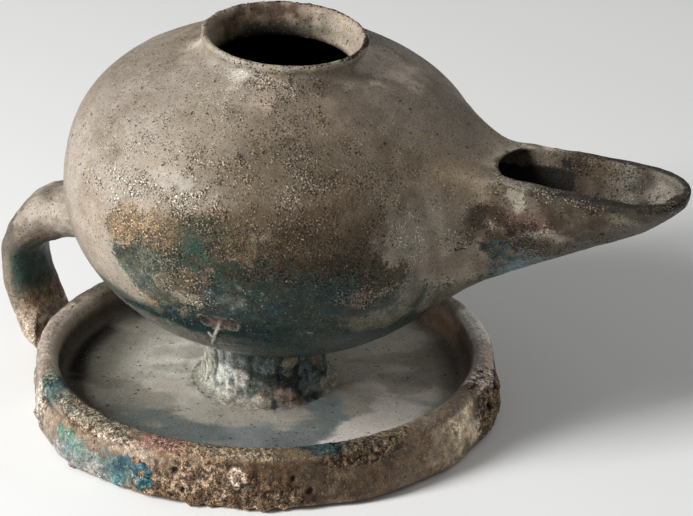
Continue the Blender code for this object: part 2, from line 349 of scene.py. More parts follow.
# ---------------------------------------------------------------- relief
PITS = (  # holes in the dish's crust: degrees round, height, radius, depth, all in mm
    (7, 11.6, 1.7, 1.5), (3, 8.2, 1.5, 1.3), (11, 8.6, 1.6, 1.4), (6, 4.6, 1.4, 1.2), (13, 12.2, 1.2, 1.0),
    (-88, 9.0, 0.9, 0.8), (-86, 3.8, 0.9, 0.8), (-60, 8.8, 0.9, 0.8), (-56, 5.0, 1.0, 0.8))
NODULES = (  # on the dish's wall: degrees round, height, radius, proud, all in mm
    (-73, 8.6, 3.2, 1.0), (-90, 9.4, 2.4, 0.9), (-84, 2.2, 2.6, 0.9), (-67, 2.0, 2.8, 1.0), (-79, 6.0, 2.2, 0.8),
    (-62, 7.8, 2.6, 0.9), (-58, 3.6, 3.0, 0.9), (-95, 5.0, 2.4, 0.8), (-70, 11.5, 2.0, 0.7), (-100, 9.5, 2.0, 0.6),
    (-137, 2.4, 2.4, 0.9), (-142, 4.2, 3.2, 1.0), (-150, 8.5, 2.2, 0.6), (-160, 5.0, 2.6, 0.6),
    (-145, 12.4, 1.6, 0.5), (6, 11.0, 3.4, 1.0), (2, 6.0, 3.6, 1.2), (10, 7.0, 2.6, 0.9), (-50, 5.5, 2.2, 0.6),
    (-83, 0.9, 1.7, 1.1), (-79.5, 0.8, 1.1, 0.9), (-62, 0.9, 1.3, 0.9), (-71, 0.8, 1.0, 0.7), (-118, 0.8, 1.0, 0.8),
    (-110, 11.8, 2.0, 0.5), (150, 7.0, 3.0, 0.8), (120, 4.0, 2.6, 0.8), (60, 8.0, 3.0, 0.7), (95, 10.0, 2.4, 0.7))


def crust_amount(s):
    """How gritty the dish's wall and rim are."""
    az, h = s.dish_az, s.h
    rough = fractal(s.p, 14, 31, 4)
    front = np.maximum(blob(s, -79, 6.0, 26, 13, "dish"), blob(s, -108, 13.5, 20, 3.4, "dish"))
    raise_to(front, np.maximum(blob(s, 5, 8, 8, 9, "dish"), blob(s, -46, 12.5, 13, 3.6, "dish")),
             np.maximum(blob(s, -139, 6, 4, 9, "dish"), blob(s, -106, 1.6, 7, 2.2, "dish")))
    back = 0.08 * (np.abs(wrapped(az - 90)) < 80) + 0.15 * np.cos(np.radians(az * 3 + 40)) - 0.5 * ramp(h, 11, 13.5)
    amount = ramp(front + 0.5 * rough, -0.2, 0.3) + ramp(back + 0.6 * rough, 0.25, 0.7) * (front < 0)
    wall = ramp(s.dish_r, 52.5, 54.5) * (h < 15.3)
    return np.clip(amount, 0, 1) * wall * s.dish


def chip_amount(s):
    """The scar low on the pot's front: 1 inside, falling through 0.5 at its torn edge."""
    field = blob(s, -82.5, 45.4, 5.6, 2.5) + 0.3 * fractal(s.p, 2.6, 71, 3)
    return ramp(field, -0.2, 0.4) * s.pot


def drip_amount(s):
    """The white run below the scar, and the pale line that follows the pot's foot."""
    u, z = (s.az + 82.6 - 0.45 * (s.z - 44)) * 0.8, s.z
    wander = 0.45 * fractal(s.p, 3.5, 73, 3)
    run = ramp(np.abs(u + wander), 0.6, 0.2) * ramp(z, 29, 31) * ramp(z, 46, 44)
    fork = ramp(np.abs(u + 1.2 + wander + 0.5 * (z - 40.5)), 0.65, 0.25) * ramp(z, 38, 39.5) * ramp(z, 42, 40.8)
    line = ramp(np.abs(z - 36.8 - 0.12 * u + wander), 0.45, 0.15) * ramp(u, 0.5, 2) * ramp(u, 13, 7)
    return np.maximum(np.maximum(run, fork), 0.4 * line) * s.pot


def displaced(piece):
    """Moves the surface along its normals: wobble, crust, nodules, glaze edges and worn lips."""
    mesh = piece.data
    co, no = points_of(mesh), normals_of(mesh)
    s = places(co, no)
    p = s.p
    lift = np.zeros(len(p))
    outer = 1 - s.inside
    body = np.clip(s.pot + s.spout, 0, 1)
    lift += 0.24 * fractal(p, 30, 3, 2) * body
    lift += 0.05 * fractal(p, 5, 9, 4) * outer
    lift += (0.42 * fractal(p, 13, 12, 2) + 0.22 * fractal(p, 4.5, 14, 3)) * s.handle
    lift += 0.16 * fractal(p, 6, 17, 3) * s.spout
    # worn, slightly ragged lip
    near_lip = ramp(lip_distance(s), 3.2, 0.6)
    lift -= near_lip * (0.16 + 0.3 * fractal(p, 3.5, 15, 3))
    # the thick lower glaze stands a little proud of the bare skin, with runs in it
    edge = glaze_amount(s)
    lift += 0.14 * (ramp(edge + 0.25 * fractal(p, 2.4, 21, 3), 0.35, 0.6) - 0.5) * s.pot
    lift += 0.08 * fractal(p, 3.2, 24, 3) * ramp(edge, 0.3, 0.8) * s.pot
    scar = chip_amount(s)
    lift += s.pot * (0.34 * within(scar, 0.3, 0.3, 0.0) - 0.55 * ramp(scar, 0.45, 0.8) + 0.28 * drip_amount(s))
    # crust and nodules on the dish
    crust = crust_amount(s)
    grains = lumps(p, 1.15, 40)
    crags = craggy(p, 3.4, 38, 4)
    clumps = fractal(p, 4.6, 42, 3)
    fine = fractal(p, 1.5, 44, 3)
    lift += crust * (0.42 * (crags - 0.55) + 0.22 * (grains - 0.6) + 0.26 * clumps + 0.10 * fine - 0.08)
    outer_wall = s.dish * ramp(s.dish_r, 53.5, 56.5)
    lift += (0.24 * fractal(p, 6.0, 47, 3) + 0.05 * fine) * outer_wall * (1 - crust)
    lift *= ramp(s.h, 0.15, 1.6)
    for azimuth, height, radius, proud in NODULES:
        du = np.radians(wrapped(s.dish_az - azimuth)) * WALL_ARC
        d = np.sqrt(du ** 2 + (s.h - height) ** 2) / radius
        bump = np.clip(1 - (d + 0.25 * clumps) ** 2, 0, 1) ** 1.2
        lift += proud * bump * outer_wall * (0.7 + 0.5 * fine) * ramp(s.h, 0.02, 0.6)
    keep_flat = ramp(s.h, 0.15, 1.6)
    # pits in the thick crust at the dish's right edge
    for azimuth, height, radius, deep in PITS:
        du = np.radians(wrapped(s.dish_az - azimuth)) * WALL_ARC
        d = np.hypot(du, s.h - height) / radius
        lift -= deep * ramp(d + 0.3 * fine, 1.1, 0.4) * outer_wall * keep_flat
    # the ridge along the rim's outer corner at the left
    ridge = within(s.dish_r, 57.9, 1.3, 0.3) * around(s.dish_az, -122, 26, 14)
    lift += 0.3 * ridge * s.dish * (s.h > 11)
    lift += 0.1 * fractal(p, 7, 50, 3) * s.dish * (s.dish_r < 52) * (s.h > 5)
    # the stem: runs of glaze and lumps of earth
    runs = runs_down(s, 3.4, 53, 3)
    lift += (0.3 * runs + 0.26 * fractal(p, 2.6, 56, 3)) * s.stem
    for azimuth, height, wide, high in ((-42, 16.6, 3.0, 2.2), (-6, 15.4, 3.2, 2.6), (-48, 8.4, 4.0, 1.8)):
        lift += 0.75 * np.clip(blob(s, azimuth, height, wide * 3.8, high, "dish"), 0, 1) ** 0.7 * s.stem
    lift *= outer
    co += no * (lift * MM)[:, None]
    set_points(mesh, clipped(co))


def clipped(co):
    return np.clip(co, np.array(CAD_BOX[0]) + 2e-6, np.array(CAD_BOX[1]) - 2e-6)


def glaze_amount(s):
    """Over 0.5 where the dark glaze still covers the pot; it falls off upwards through its ragged edge."""
    edge = along(GLAZE_EDGE, s.az, 1) + 2.2 * fractal(s.p, 9, 61, 4)
    amount = ramp(edge - s.z, -4.8, 4.8)
    left = along(GLAZE_LEFT, s.z, 1)
    past = (s.az - left) * 0.87 + 2.8 * fractal(s.p, 6, 63, 5)
    seen = around(s.az, -128, 40, 34)
    amount *= 1 - seen * ramp(past, 3.4, -3.4)
    bare = np.maximum(blob(s, -90.5, 54.5, 8.0, 8.4), 0.9 * blob(s, -39, 55, 10.5, 3.4))
    raise_to(bare, np.maximum(0.6 * blob(s, -57, 44.3, 3, 1.4), 0.9 * blob(s, -103, 46.2, 4.6, 3.0)))
    amount -= 0.7 * ramp(bare + 0.6 * fractal(s.p, 5, 65, 4), -0.1, 0.6)
    amount += 0.62 * ramp(blob(s, -89.5, 66.5, 3.4, 4.2) + 0.5 * fractal(s.p, 3, 67, 4), -0.1, 0.6)
    return np.clip(amount, 0, 1)


# ---------------------------------------------------------------- thinning
def thinned(piece):
    """Cuts the triangles down to the limit: the crust keeps its own, the smooth and hidden parts give theirs."""
    mesh = piece.data
    s = places(points_of(mesh), normals_of(mesh))
    keep = np.full(len(s.z), 0.46)
    for part, share in ((s.spout, 0.56), (s.handle, 0.62), (s.stem, 0.85), (s.dish, 0.38)):
        keep = np.where(part > 0.5, share, keep)
    raise_to(keep, 0.72 * s.dish * ramp(s.dish_r, 53, 54.5))
    crust = crust_amount(s)
    raise_to(keep, 0.6 + 0.4 * crust * (crust > 0.1) - 0.6 * (crust <= 0.1),
             0.95 * s.pot * (blob(s, -84, 43.5, 15, 8) > 0), 0.7 * ramp(lip_distance(s), 6, 4))
    keep = np.where((s.inside > 0.5) & (s.z < 90), 0.14, keep)
    keep = np.where(s.h < 0.3, 0.14, keep)
    faces = triangles_of(mesh)
    if faces > TRIANGLES:
        modifier = piece.modifiers.new("Thin", "DECIMATE")
        modifier.ratio = TRIANGLES / faces
        modifier.use_collapse_triangulate = True
        modifier.vertex_group = weighed(piece, 1 - keep, 20)
        modifier.vertex_group_factor = 1.0
        bake_modifiers(piece)
    piece.vertex_groups.clear()
    set_points(piece.data, clipped(points_of(piece.data)))


piece = copied_mesh()
shape = places(points_of(piece.data), normals_of(piece.data))
lips = np.minimum(lip_distance(shape) / 5.0, 1.0)
broad = shape.pot * ramp(lips, 0.5, 1.0) * ramp(shape.x, 62, 56)
eased(piece, np.clip(0.35 + broad, 0, 1), 6)
eased(piece, broad, 40)
trued(piece)
shape = places(points_of(piece.data), normals_of(piece.data))
joint = ramp(shape.x, 38, 44) * ramp(shape.x, 70, 62) * np.clip(shape.pot + shape.spout, 0, 1)
joint *= 1 - ramp(shape.z, 66, 70) * ramp(np.abs(shape.y), 18, 14)
eased(piece, joint * ramp(shape.z, 30, 36), 60)
displaced(piece)
thinned(piece)
for polygon in piece.data.polygons:
    polygon.use_smooth = True
print("triangles", triangles_of(piece.data), "vertices", len(piece.data.vertices))

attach(piece, "root")
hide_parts(NODE)


# ---------------------------------------------------------------- colour, painted by place
WARE, GLAZE, RUST = (220, 185, 145), (17, 26, 19), (180, 120, 63)
WARMER = (0.10, 0.09, 0.06)


def covered(s, rgb):
    """A field of one colour, given in thousandths."""
    return np.tile(np.array(rgb) / 1000, (len(s.z), 1))


def lay(field, rgb, amount):
    """Lays a colour, in thousandths, over the field; amount runs from 0 to 1."""
    field += (np.asarray(rgb) / 1000 - field) * np.clip(amount, 0, 1)[:, None]


def patch(shape_field, noise, spread=0.45, low=-0.1, high=0.35):
    """A ragged patch from a blob field and a noise field."""
    return ramp(shape_field + spread * noise, low, high)


class Brush:
    """Lays colours over one field of colours, as far as a mask allows."""

    def __init__(self, field, mask, noise=None, place=None):
        self.field, self.mask, self.noise, self.place = field, mask, noise, place

    def __call__(self, rgb, *strengths):
        """Everywhere on the mask, by all the strengths together."""
        lay(self.field, rgb, math.prod(strengths, start=self.mask))

    def at(self, rgb, u, v, wide, high, strength=1.0, spread=0.5, noise=None, low=-0.1, top=0.35):
        """A ragged spot round one place."""
        noise = self.noise if noise is None else noise
        self(rgb, patch(self.place(u, v, wide, high), noise, spread, low, top), strength)


def hollows(piece):
    """How far each vertex lies in a hollow (towards 1) or on a bump (towards 0), against its wider neighbourhood."""
    mesh = piece.data
    co, no = points_of(mesh), normals_of(mesh)
    ends = np.zeros(len(mesh.edges) * 2, np.int64)
    mesh.edges.foreach_get("vertices", ends)
    a, b = ends[0::2], ends[1::2]
    count = np.bincount(ends, minlength=len(co))[:, None]
    even = co.copy()
    depth = np.zeros(len(co))
    for step in range(1, 9):
        total = np.zeros_like(even)
        for axis in range(3):
            total[:, axis] = (np.bincount(a, even[b, axis], len(co)) + np.bincount(b, even[a, axis], len(co)))
        even = 0.4 * even + 0.6 * total / np.maximum(count, 1)
        if step in (2, 8):
            depth += ((even - co) * no).sum(1) / MM
    return np.clip(0.5 + depth * 2.2, 0, 1)


def paint_pot(s, skin, n):
    pot = Brush(skin, np.clip(s.pot + s.spout, 0, 1), n.mid, partial(blob, s))
    pot((245, 205, 160))
    pot.at((305, 262, 215), -128, 72, 26, 22, 0.9, 0.45, n.broad)
    pot.at((290, 235, 180), -125, 58, 11, 13, 0.8, 0.45)
    pot.at((275, 235, 198), -142, 88, 18, 8, 0.8, 0.45)
    pot.at((155, 128, 98), -5, 88, 26, 9, 0.85, 0.4, n.broad)
    # pale patch left of the neck, partly a painted highlight
    pot((780, 670, 535), patch(oval(wrapped(s.az + 143), s.z - 97, 24, 2.4), n.mid, 0.5), 0.8)
    # the browned front and its counterpart at the back
    dirt = np.maximum(blob(s, -60, 79, 33, 15), blob(s, 95, 80, 40, 16))
    pot((108, 84, 57), patch(dirt, n.broad, 0.5, -0.25, 0.55), 0.96)
    pot.at((175, 136, 100), -60, 93, 26, 5, 0.75)
    pot.at((235, 185, 135), -33, 80, 6, 5, 0.7, 0.7)
    pot.at((82, 60, 38), -50, 81, 9, 6, 0.7, 0.7)
    pot.at((100, 78, 52), -28, 84.5, 9, 4, 0.8, 0.7)
    pot.at((155, 118, 72), -13, 79, 7, 8, 0.75, 0.7)
    pot((165, 130, 95), ramp(n.broad2, -0.1, 0.7), 0.55)
    pot((175, 133, 85), ramp(n.mid, 0.1, 0.9), 0.45)
    # painted highlight: a whitish sheen on the body's left
    pot.at((345, 318, 280), -97, 76.5, 9, 4.0, 0.5, 0.9)
    pot.at((150, 104, 58), -83, 71.5, 10, 4, 0.8, 0.7)
    pot.at((78, 53, 31), -60, 72.5, 20, 5.5, 0.9, 0.6, low=-0.2, top=0.4)
    pot.at((62, 42, 25), -57, 67.5, 22, 6, 0.95)
    pot.at((22, 15, 9), -55, 63.0, 15, 3.6, 0.95, 0.4)
    pot((300, 262, 215), ramp(s.z, 90, 95), around(s.az, -110, 40, 20), 0.7)
    pot((290, 245, 190), ramp(s.z, 99.6, 100.6), 0.4)
    # painted highlight: a narrow pale glint on the neck's left
    pot.at((470, 425, 370), -100, 96.9, 7, 1.5, 0.85, 0.8, n.fine)
    pot.at((370, 300, 238), -76, 95.6, 11, 2.0, 0.8, 0.8)
    pot.at((112, 85, 62), -32, 93.5, 12, 4, 0.75, 0.6)
    # painted light: the shoulder right of the collar lightened against the collar's shade
    pot.at((440, 372, 315), 22, 95.5, 26, 4, 0.85)
    # the pale speckled patch right of the rust band, and the earth under it
    pot.at((240, 213, 170), -27, 68, 10, 9, 0.9, 0.7)
    pot.at((110, 104, 78), -31, 64, 4, 3, 0.5, 0.7, n.fine)
    pot.at((142, 109, 74), -38, 58, 8, 4, 0.8, 0.6)
    pot.at((88, 58, 37), -7, 67, 8, 5, 0.85, 0.7)
    pot.at((82, 57, 33), -91, 56, 9, 9, 0.95)
    pot.at((105, 82, 58), -42, 54.5, 10, 5, 0.95, 0.8)
    pot.at((200, 165, 124), -31, 55.0, 7, 4, 0.9, 0.6)
    pot.at((145, 108, 74), -15, 57, 9, 5, 0.75)
    pot.at((225, 190, 146), -91, 51.0, 5.5, 3.2, 0.9, 0.8)
    low = ramp(s.z, 52, 46) * ramp(s.az, -104, -100)
    pot((125, 100, 66), low, ramp(s.az, 60, 30), 0.85)
    # the edge of the glaze at the left: a pale run, and brown below
    left = along(GLAZE_LEFT, s.z, 1)
    past = (s.az - left) * 0.87
    run = ramp(np.abs(past + 0.6 + 1.6 * n.mid), 3.0, 1.4) * within(s.z, 51, 10, 6)
    pot((285, 290, 220), run, ramp(n.fine, -0.5, 0.1), 0.9)
    pot.at((200, 142, 76), -101.5, 45.5, 5, 3.0, 0.9, 0.6)
    pot((50, 52, 38), ramp(s.z + n.mid, 46.5, 43.5), around(s.az, -132, 46, 26))


def paint_spout(s, skin, n):
    mid, fine = n.mid, n.fine
    on = ramp(s.x + 3 * mid + 2 * fine, 55, 66) * (s.h > 30)
    side = s.y < 0

    def place(x, z, wide, high):
        return oval(s.x - x, s.z - z, wide, high)

    spout, flank = Brush(skin, on), Brush(skin, on * side, mid, place)
    below, upper = Brush(skin, on * ramp(-s.nz, 0.3, 0.75)), Brush(skin, on * ramp(s.nz, 0.0, 0.45))
    trough = Brush(skin, on * (s.dip > 0))
    spout((46, 33, 21), 0.92)
    spout((28, 18, 10), ramp(mid + 0.5 * n.broad2, -0.2, 0.3), 0.8)
    spout((35, 28, 18), ramp(s.x, 86, 96), 0.85)
    flank.at((105, 82, 58), 67, 75.5, 6, 3.5, spread=0.6)
    lay(skin, (29, 16, 9), ramp(s.x, 52, 57) * (s.h > 30) * side * patch(place(65, 69.8, 13, 4.4), mid, 0.6) * 0.95)
    flank.at((118, 72, 55), 70.5, 71.8, 5.0, 2.6, 0.75, 0.6, fine)
    flank((240, 202, 158), patch(place(73.5, 68.4, 4.8, 2.3), mid, 0.6), ramp(fine, -1.0, 0.0), 0.9)
    flank.at((110, 98, 70), 94.5, 77.0, 4.5, 1.3, 0.8, 0.6, fine)
    flank((92, 80, 50), ramp(s.x, 76, 84), within(s.z, 79.2, 1.6, 0.5), ramp(fine, 0.0, 0.4), 0.9)
    flank((260, 244, 190), patch(place(66.5, 76.8, 2.2, 3.0), fine, 0.5), ramp(fine, -0.9, 0.1))
    below((66, 56, 44), 0.9)
    below((118, 172, 188), ramp(s.x + 3 * mid, 74, 67), 0.9)
    upper((58, 47, 36), 0.9)
    upper((18, 14, 10), ramp(s.x + 5 * side, 74, 82), ramp(mid, -0.8, 0.1), 0.9)
    upper((90, 78, 63), s.y > 0, ramp(fine, 0.0, 0.5), 0.5)
    # painted light: the spout's top near the pot lightened against its shade
    upper((440, 385, 315), ramp(s.x, 74, 65), ramp(mid, -0.8, 0.0), 0.9 - 0.6 * side)
    trough((48, 36, 24), 0.95)
    trough((115, 82, 50), ramp(mid, -0.3, 0.3), ramp(s.x, 74, 80), ramp(s.x, 92, 84), 0.85)
    trough((165, 149, 124), ramp(s.x, 80, 88), ramp(mid, -0.7, 0.2), 0.9)
    trough((260, 230, 188), ramp(s.x, 90, 96), ramp(mid, -0.9, 0.3), 0.8)
    trough((95, 86, 70), ramp(s.x, 90, 95), ramp(s.z, 79.0, 80.3), 0.85)
    # painted light: a paler band on the channel's wall at the hole's left end, against its shade
    trough((135, 110, 86), ramp(s.z, 75.8, 77.0), ramp(s.x, 74, 66), 0.9)
    trough((60, 63, 58), ramp(s.y, -4, -7), ramp(s.x, 70, 76), 0.7)


def paint_handle(s, skin, n):
    h, x = s.h, s.p[:, 0]
    handle = Brush(skin, s.handle, n.mid, lambda x0, h0, wide, high: oval(x - x0, h - h0, wide, high))
    inner = Brush(skin, s.handle * ramp(s.n[:, 0], -0.1, 0.5))
    handle((150, 122, 90))
    handle((178, 150, 120), ramp(h, 34, 42), ramp(n.mid, -0.7, 0.2))
    handle((270, 230, 190), ramp(x, -57, -53))
    handle.at((78, 68, 50), -70, 37, 6, 9, 0.85, 0.6)
    handle.at((55, 50, 36), -66.5, 46.5, 4, 4, 0.6, 0.7)
    # painted highlight on the top of the handle's bend
    handle.at((330, 275, 222), -58, 45, 6, 2.6, 0.85, 0.8)
    handle.at((270, 222, 185), -65, 42.5, 4, 1.8, 0.8, 0.8, n.fine)
    inner((158, 106, 72), ramp(h, 46, 42), 0.85)
    # painted shade on the handle's inner face, which turns away from the lamp
    inner((58, 44, 30), ramp(h + 1.5 * n.mid, 42, 36), ramp(h, 19, 22))
    inner((40, 80, 66), ramp(np.abs(h - 27.0 - 1.5 * n.mid), 9.5, 5.0), ramp(n.fine, -1.0, 0.2), 0.95)
    # yellow-brown smear low on the handle, partly painted light where it faces away from the lamp
    handle((245, 172, 104), ramp(h + 2 * n.mid, 24, 18), ramp(n.mid, -0.6, 0.2))
    handle((105, 68, 42), ramp(h, 26, 19), ramp(n.fine + 0.4 * n.mid, 0.0, 0.4), 0.85)
    inner((160, 75, 55), within(h, 19.5, 2.5, 1.0), ramp(n.fine, 0.1, 0.4), 0.7)
    handle((400, 318, 246), ramp(h, 18.5, 14), ramp(n.mid, -1.1, -0.2), 0.9)


def paint_dish(s, skin, n):
    mid, fine = n.mid, n.fine
    az, h, r, on = s.dish_az, s.h, s.dish_r, s.dish
    x, y = s.p[:, 0], s.p[:, 1]
    smear, fog, place = n.streak, n.broad2, partial(blob, s, frame_name="dish")
    dish, wall = Brush(skin, on), Brush(skin, on * ramp(r, 54.5, 56.5), mid, place)
    front = Brush(skin, wall.mask * around(az, -72, 27, 20), mid, place)
    rim = Brush(skin, on * ramp(h, 12.4, 13.6) * ramp(r, 52.2, 53.2), mid, place)
    inner = Brush(skin, on * ramp(r, 49.5, 51.5) * ramp(r, 54.2, 53.2) * ramp(h, 13.6, 12.4), mid, place)
    floor = Brush(skin, on * ramp(r, 51.0, 49.0) * (h > 3), smear, partial(floor_blob, s))
    dish((140, 105, 74))
    wall.at((215, 180, 145), -146, 7, 20, 14, spread=0.4)
    wall.at((420, 372, 320), -138, 9.5, 10, 5, 0.9)
    wall.at((260, 185, 135), -128, 8.5, 12, 4, 0.8)
    wall.at((215, 158, 112), -113, 10.5, 17, 3, 0.9)
    wall.at((158, 100, 60), -84, 6, 22, 12, spread=0.4)
    wall.at((92, 56, 30), -66, 5, 13, 12, 0.85)
    wall((225, 148, 98), ramp(mid, 0.2, 0.7), around(az, -80, 26, 16), 0.6)
    wall.at((320, 250, 198), -103, 11.8, 9, 2.2, 0.85, 0.6)
    front.at((235, 168, 117), -84, 9, 10, 5, 0.6, 0.8)
    front((66, 36, 16), ramp(h + 2 * mid, 5.5, 8.5), ramp(az, -80, -70), 0.75)
    front((66, 40, 22), ramp(fine + 0.5 * mid, 0.1, 0.6), 0.6)
    front((330, 235, 165), ramp(-fine, 0.0, 0.4), ramp(h + 3 * mid, 8, 5), 0.7)
    wall.at((600, 460, 375), -73, 9.2, 2.0, 2.5, 0.8, 0.4, fine)
    wall.at((94, 58, 34), -44, 6, 14, 12, 0.85)
    wall.at((60, 44, 28), -52, 10, 7, 3, 0.5, 0.7)
    wall.at((66, 43, 25), -52, 4.0, 9, 4, 0.8, 0.7)
    wall.at((172, 115, 73), -26, 7, 8, 10, 0.85, 0.7)
    wall.at((290, 228, 160), -15, 7, 8, 10, 0.85, 0.7)
    wall.at((800, 650, 470), -8, 9.0, 7, 5, 0.9, 1.0, low=-0.3, top=1.0)
    wall.at((150, 108, 62), 5, 7, 7, 8, 0.9, 0.4)
    wall((230, 190, 150), around(az, 110, 75, 40), ramp(n.broad, -0.3, 0.4))
    rim((105, 78, 48), around(az, -40, 34, 20), 0.85)
    rim((250, 215, 180), around(az, 110, 100, 80), 0.8)
    rim.at((285, 235, 200), -164, 14, 22, 30, spread=0.4)
    # painted light: the back-left rim lightened against its shade
    rim.at((600, 490, 370), 164, 14, 18, 30, 0.9, 0.4)
    rim.at((155, 130, 96), -113, 14, 14, 30, 0.9, 0.4)
    rim.at((180, 104, 80), -92, 14, 8, 30)
    rim.at((165, 128, 86), -72, 14, 12, 30, 0.9)
    rim.at((62, 46, 30), -46, 14, 12, 30, 0.85, 0.9)
    rim.at((160, 128, 92), -18, 14, 12, 30, 0.85, 0.9)
    # painted light: the right rim lightened against its shade, palest at the back
    rim.at((540, 450, 385), 20, 14, 24, 30, 0.85, 0.4)
    rim.at((740, 710, 650), 37, 14, 11, 30, 0.85, 0.4)
    teal = on * (h > 9) * ramp(blob(s, -134, 13.5, 8.5, 7, "dish") + 0.35 * mid, 0.0, 0.7)
    rim.at((135, 150, 118), -134, 14, 17, 9, 0.7)
    lay(skin, (34, 64, 62), teal * ramp(fine, -1.1, 0.1) * 0.95)
    inner((250, 195, 150))
    # painted shade: the left inner wall darker towards the floor
    inner((150, 122, 95), around(az, -172, 48, 32), ramp(h, 10.5, 9.0))
    # painted light: the top of the left inner wall lightened against its shade
    dish((700, 600, 500), ramp(r, 51.6, 52.4), ramp(r, 54.2, 53.4), ramp(h, 10.0, 12.0), around(az, -166, 30, 20),
         0.9)
    # painted light: a lit wedge on the back inner wall
    inner.at((700, 470, 340), 52, 9, 12, 9, spread=0.4)
    # the silted floor
    floor((340, 315, 265))
    floor.at((500, 472, 400), -25, 6, 20, 28, 0.95, 0.6, top=0.5)
    floor.at((430, 372, 325), -15, -15, 10, 7, 0.6, 0.6)
    floor((235, 220, 185), patch(floor_blob(s, -26, -25, 15, 8, -30), smear, 0.6), 0.85)
    # painted shadow of the dish's left wall on the floor, darkest at the wall
    floor((98, 92, 72), ramp(r + 2.5 * smear, 29, 43), around(az, -150, 70, 36), 0.9)
    floor((16, 13, 9), ramp(r + smear, 43, 47.5), around(az, -172, 46, 30), 0.9)
    # painted light: a lit pool on the floor left of the stem
    floor.at((600, 570, 500), -24, 4, 10, 14, 0.8)
    floor((240, 222, 180), ramp(fog + 0.6 * smear, 0.15, 0.7), 0.6)
    bank = ramp(-(RIGHT_X * y - RIGHT_Y * x) + 3.0 * smear, 25.0, 28.0) * ramp(x + 5 * mid, -26, -18)
    band = Brush(skin, floor.mask * bank)
    band((128, 146, 140), ramp(smear + 0.4 * mid, -1.4, -0.5))
    band((225, 240, 232), within(x, 8, 8, 5), 0.5)
    floor((165, 192, 186), patch(floor_blob(s, 21, -10, 7, 15, 35), smear, 0.5), 0.95)
    floor((150, 168, 160), patch(floor_blob(s, 22, -22, 10, 7, 35), smear, 0.5), 0.95)
    floor((580, 530, 475), ramp(x - 0.2 * np.minimum(y + 5, 0) + 3.0 * smear, 29.5, 31.5),
          ramp(y + 3.0 * smear + 0.25 * (x - 30), 3.5, 1.0))
    # painted light: the floor under the pot's back right lightened against its shade
    floor((600, 545, 470), ramp(y + 2 * smear, 0, 5), ramp(x, 6, 12), 0.85)
    floor((260, 235, 195), ramp(x + 3 * smear, 29, 34), ramp(y, 8, 13), 0.85)
    floor.at((300, 270, 215), 36, 20, 12, 6, 0.6, 1.2, low=0.1, top=0.6)
    floor((240, 230, 200), patch(floor_blob(s, 33, 10, 8, 5, 20), smear, 0.9), 0.6)
    # painted shadow on the floor along the dish's right wall
    floor((150, 132, 106), ramp(r + smear, 43, 47), around(az, 16, 34, 22), 0.65)
    # the stem's spilt glaze on the floor round its foot
    floor((118, 136, 130), patch(floor_blob(s, -8, -34, 17, 6, -8), smear, 0.5), 0.9)
    foot = Brush(skin, floor.mask * ramp(r + 2.5 * mid, 23, 18))
    foot((430, 420, 350), around(az, -132, 34, 18), 0.8)
    foot((340, 285, 225), around(az, -75, 30, 16), 0.8)
    foot((120, 140, 130), ramp(fine + mid, 0.1, 0.6), 0.8)
    # painted light: the floor at the stem's foot on its shaded right painted paler
    foot((620, 555, 455), around(az, 30, 42, 26), 0.9)
    dish((170, 125, 90), h < 0.4)


def paint_stem(s, skin, n):
    az, h = s.dish_az, s.h
    runs = runs_down(s, 2.2, 83, 4)

    def place(azimuth, height, wide, high):
        return oval(wrapped(az - azimuth), h - height, wide, high)

    stem, lit = Brush(skin, s.stem, n.mid, place), Brush(skin, s.stem * around(az, -112, 34, 22))
    stem((40, 48, 44))
    lit((120, 140, 128))
    lit((250, 275, 245), ramp(runs, 0.0, 0.35), 0.9)
    lit((50, 62, 58), ramp(-runs, 0.15, 0.45), 0.8)
    stem.at((150, 160, 130), -82, 9.6, 20, 3.6, spread=0.6)
    stem.at((40, 55, 40), -78, 10.2, 12, 2.4, 0.85, 0.9, n.fine)
    stem.at((500, 510, 450), -106, 12.0, 14, 2.2, 0.9, 1.3, n.fine)
    stem.at((540, 500, 440), -92, 10.6, 8, 3.6, 0.85, 1.1, n.fine)
    stem((400, 360, 290), ramp(h + runs, 8.8, 7.2), around(az, -80, 44, 32), ramp(n.mid, -0.7, 0.1))
    stem((265, 192, 148), patch(place(-50, 8.8, 15, 3.0), n.mid, 0.6), ramp(n.fine, -0.9, -0.1))
    stem.at((270, 240, 178), -41, 16.6, 13, 2.8, spread=0.7, noise=n.fine)
    stem.at((215, 185, 142), -6, 15.0, 15, 3.4, spread=0.7, noise=n.fine)
    # painted light: the stem's shaded lower right painted paler
    stem.at((250, 300, 300), -20, 9.2, 15, 2.8, 0.9, 0.4)
    stem((360, 350, 285), ramp(az + 4 * runs, -122, -130), ramp(az, -178, -170), 0.9)
    stem((400, 390, 320), ramp(h + 1.5 * runs, 10.0, 7.8), ramp(az, -100, -112), 0.85)
    # painted light: pale foot on the stem's shaded right
    stem((600, 550, 440), ramp(h + runs, 9.4, 7.4), ramp(az, -20, -4), 0.9)


def paint_inside(s, skin, n):
    inside, collar = Brush(skin, s.inside), Brush(skin, s.inside * ramp(s.z, 90.5, 95.0))
    inside((50, 40, 32))
    collar((340, 280, 215))
    far_side = Brush(skin, collar.mask * around(s.az, 140, 80, 40))
    # the far left of the collar's inner wall: brown, partly painted shade, with red-brown streaks
    far_side((215, 165, 118), 0.85)
    far_side((82, 50, 33), ramp(n.mid + 0.6 * n.fine, 0.0, 0.5), 0.9)
    collar((60, 62, 40), ramp(np.abs(s.z - 95.2 - n.mid), 1.6, 0.5), around(s.az, 110, 55, 25), 0.85)
    # painted shade: the throat darkens to near black further down
    deep = 93.0 + 2.4 * around(s.az, 150, 90, 30) + 0.6 * n.mid
    inside((12, 10, 8), ramp(s.z, deep + 1.8, deep - 1.6))
    # painted light: the upper wall of the bore at the spout's mouth lightened against its shade
    inside((330, 272, 210), ramp(s.x, 57, 60.5), ramp(s.z, 76.8, 78.4))


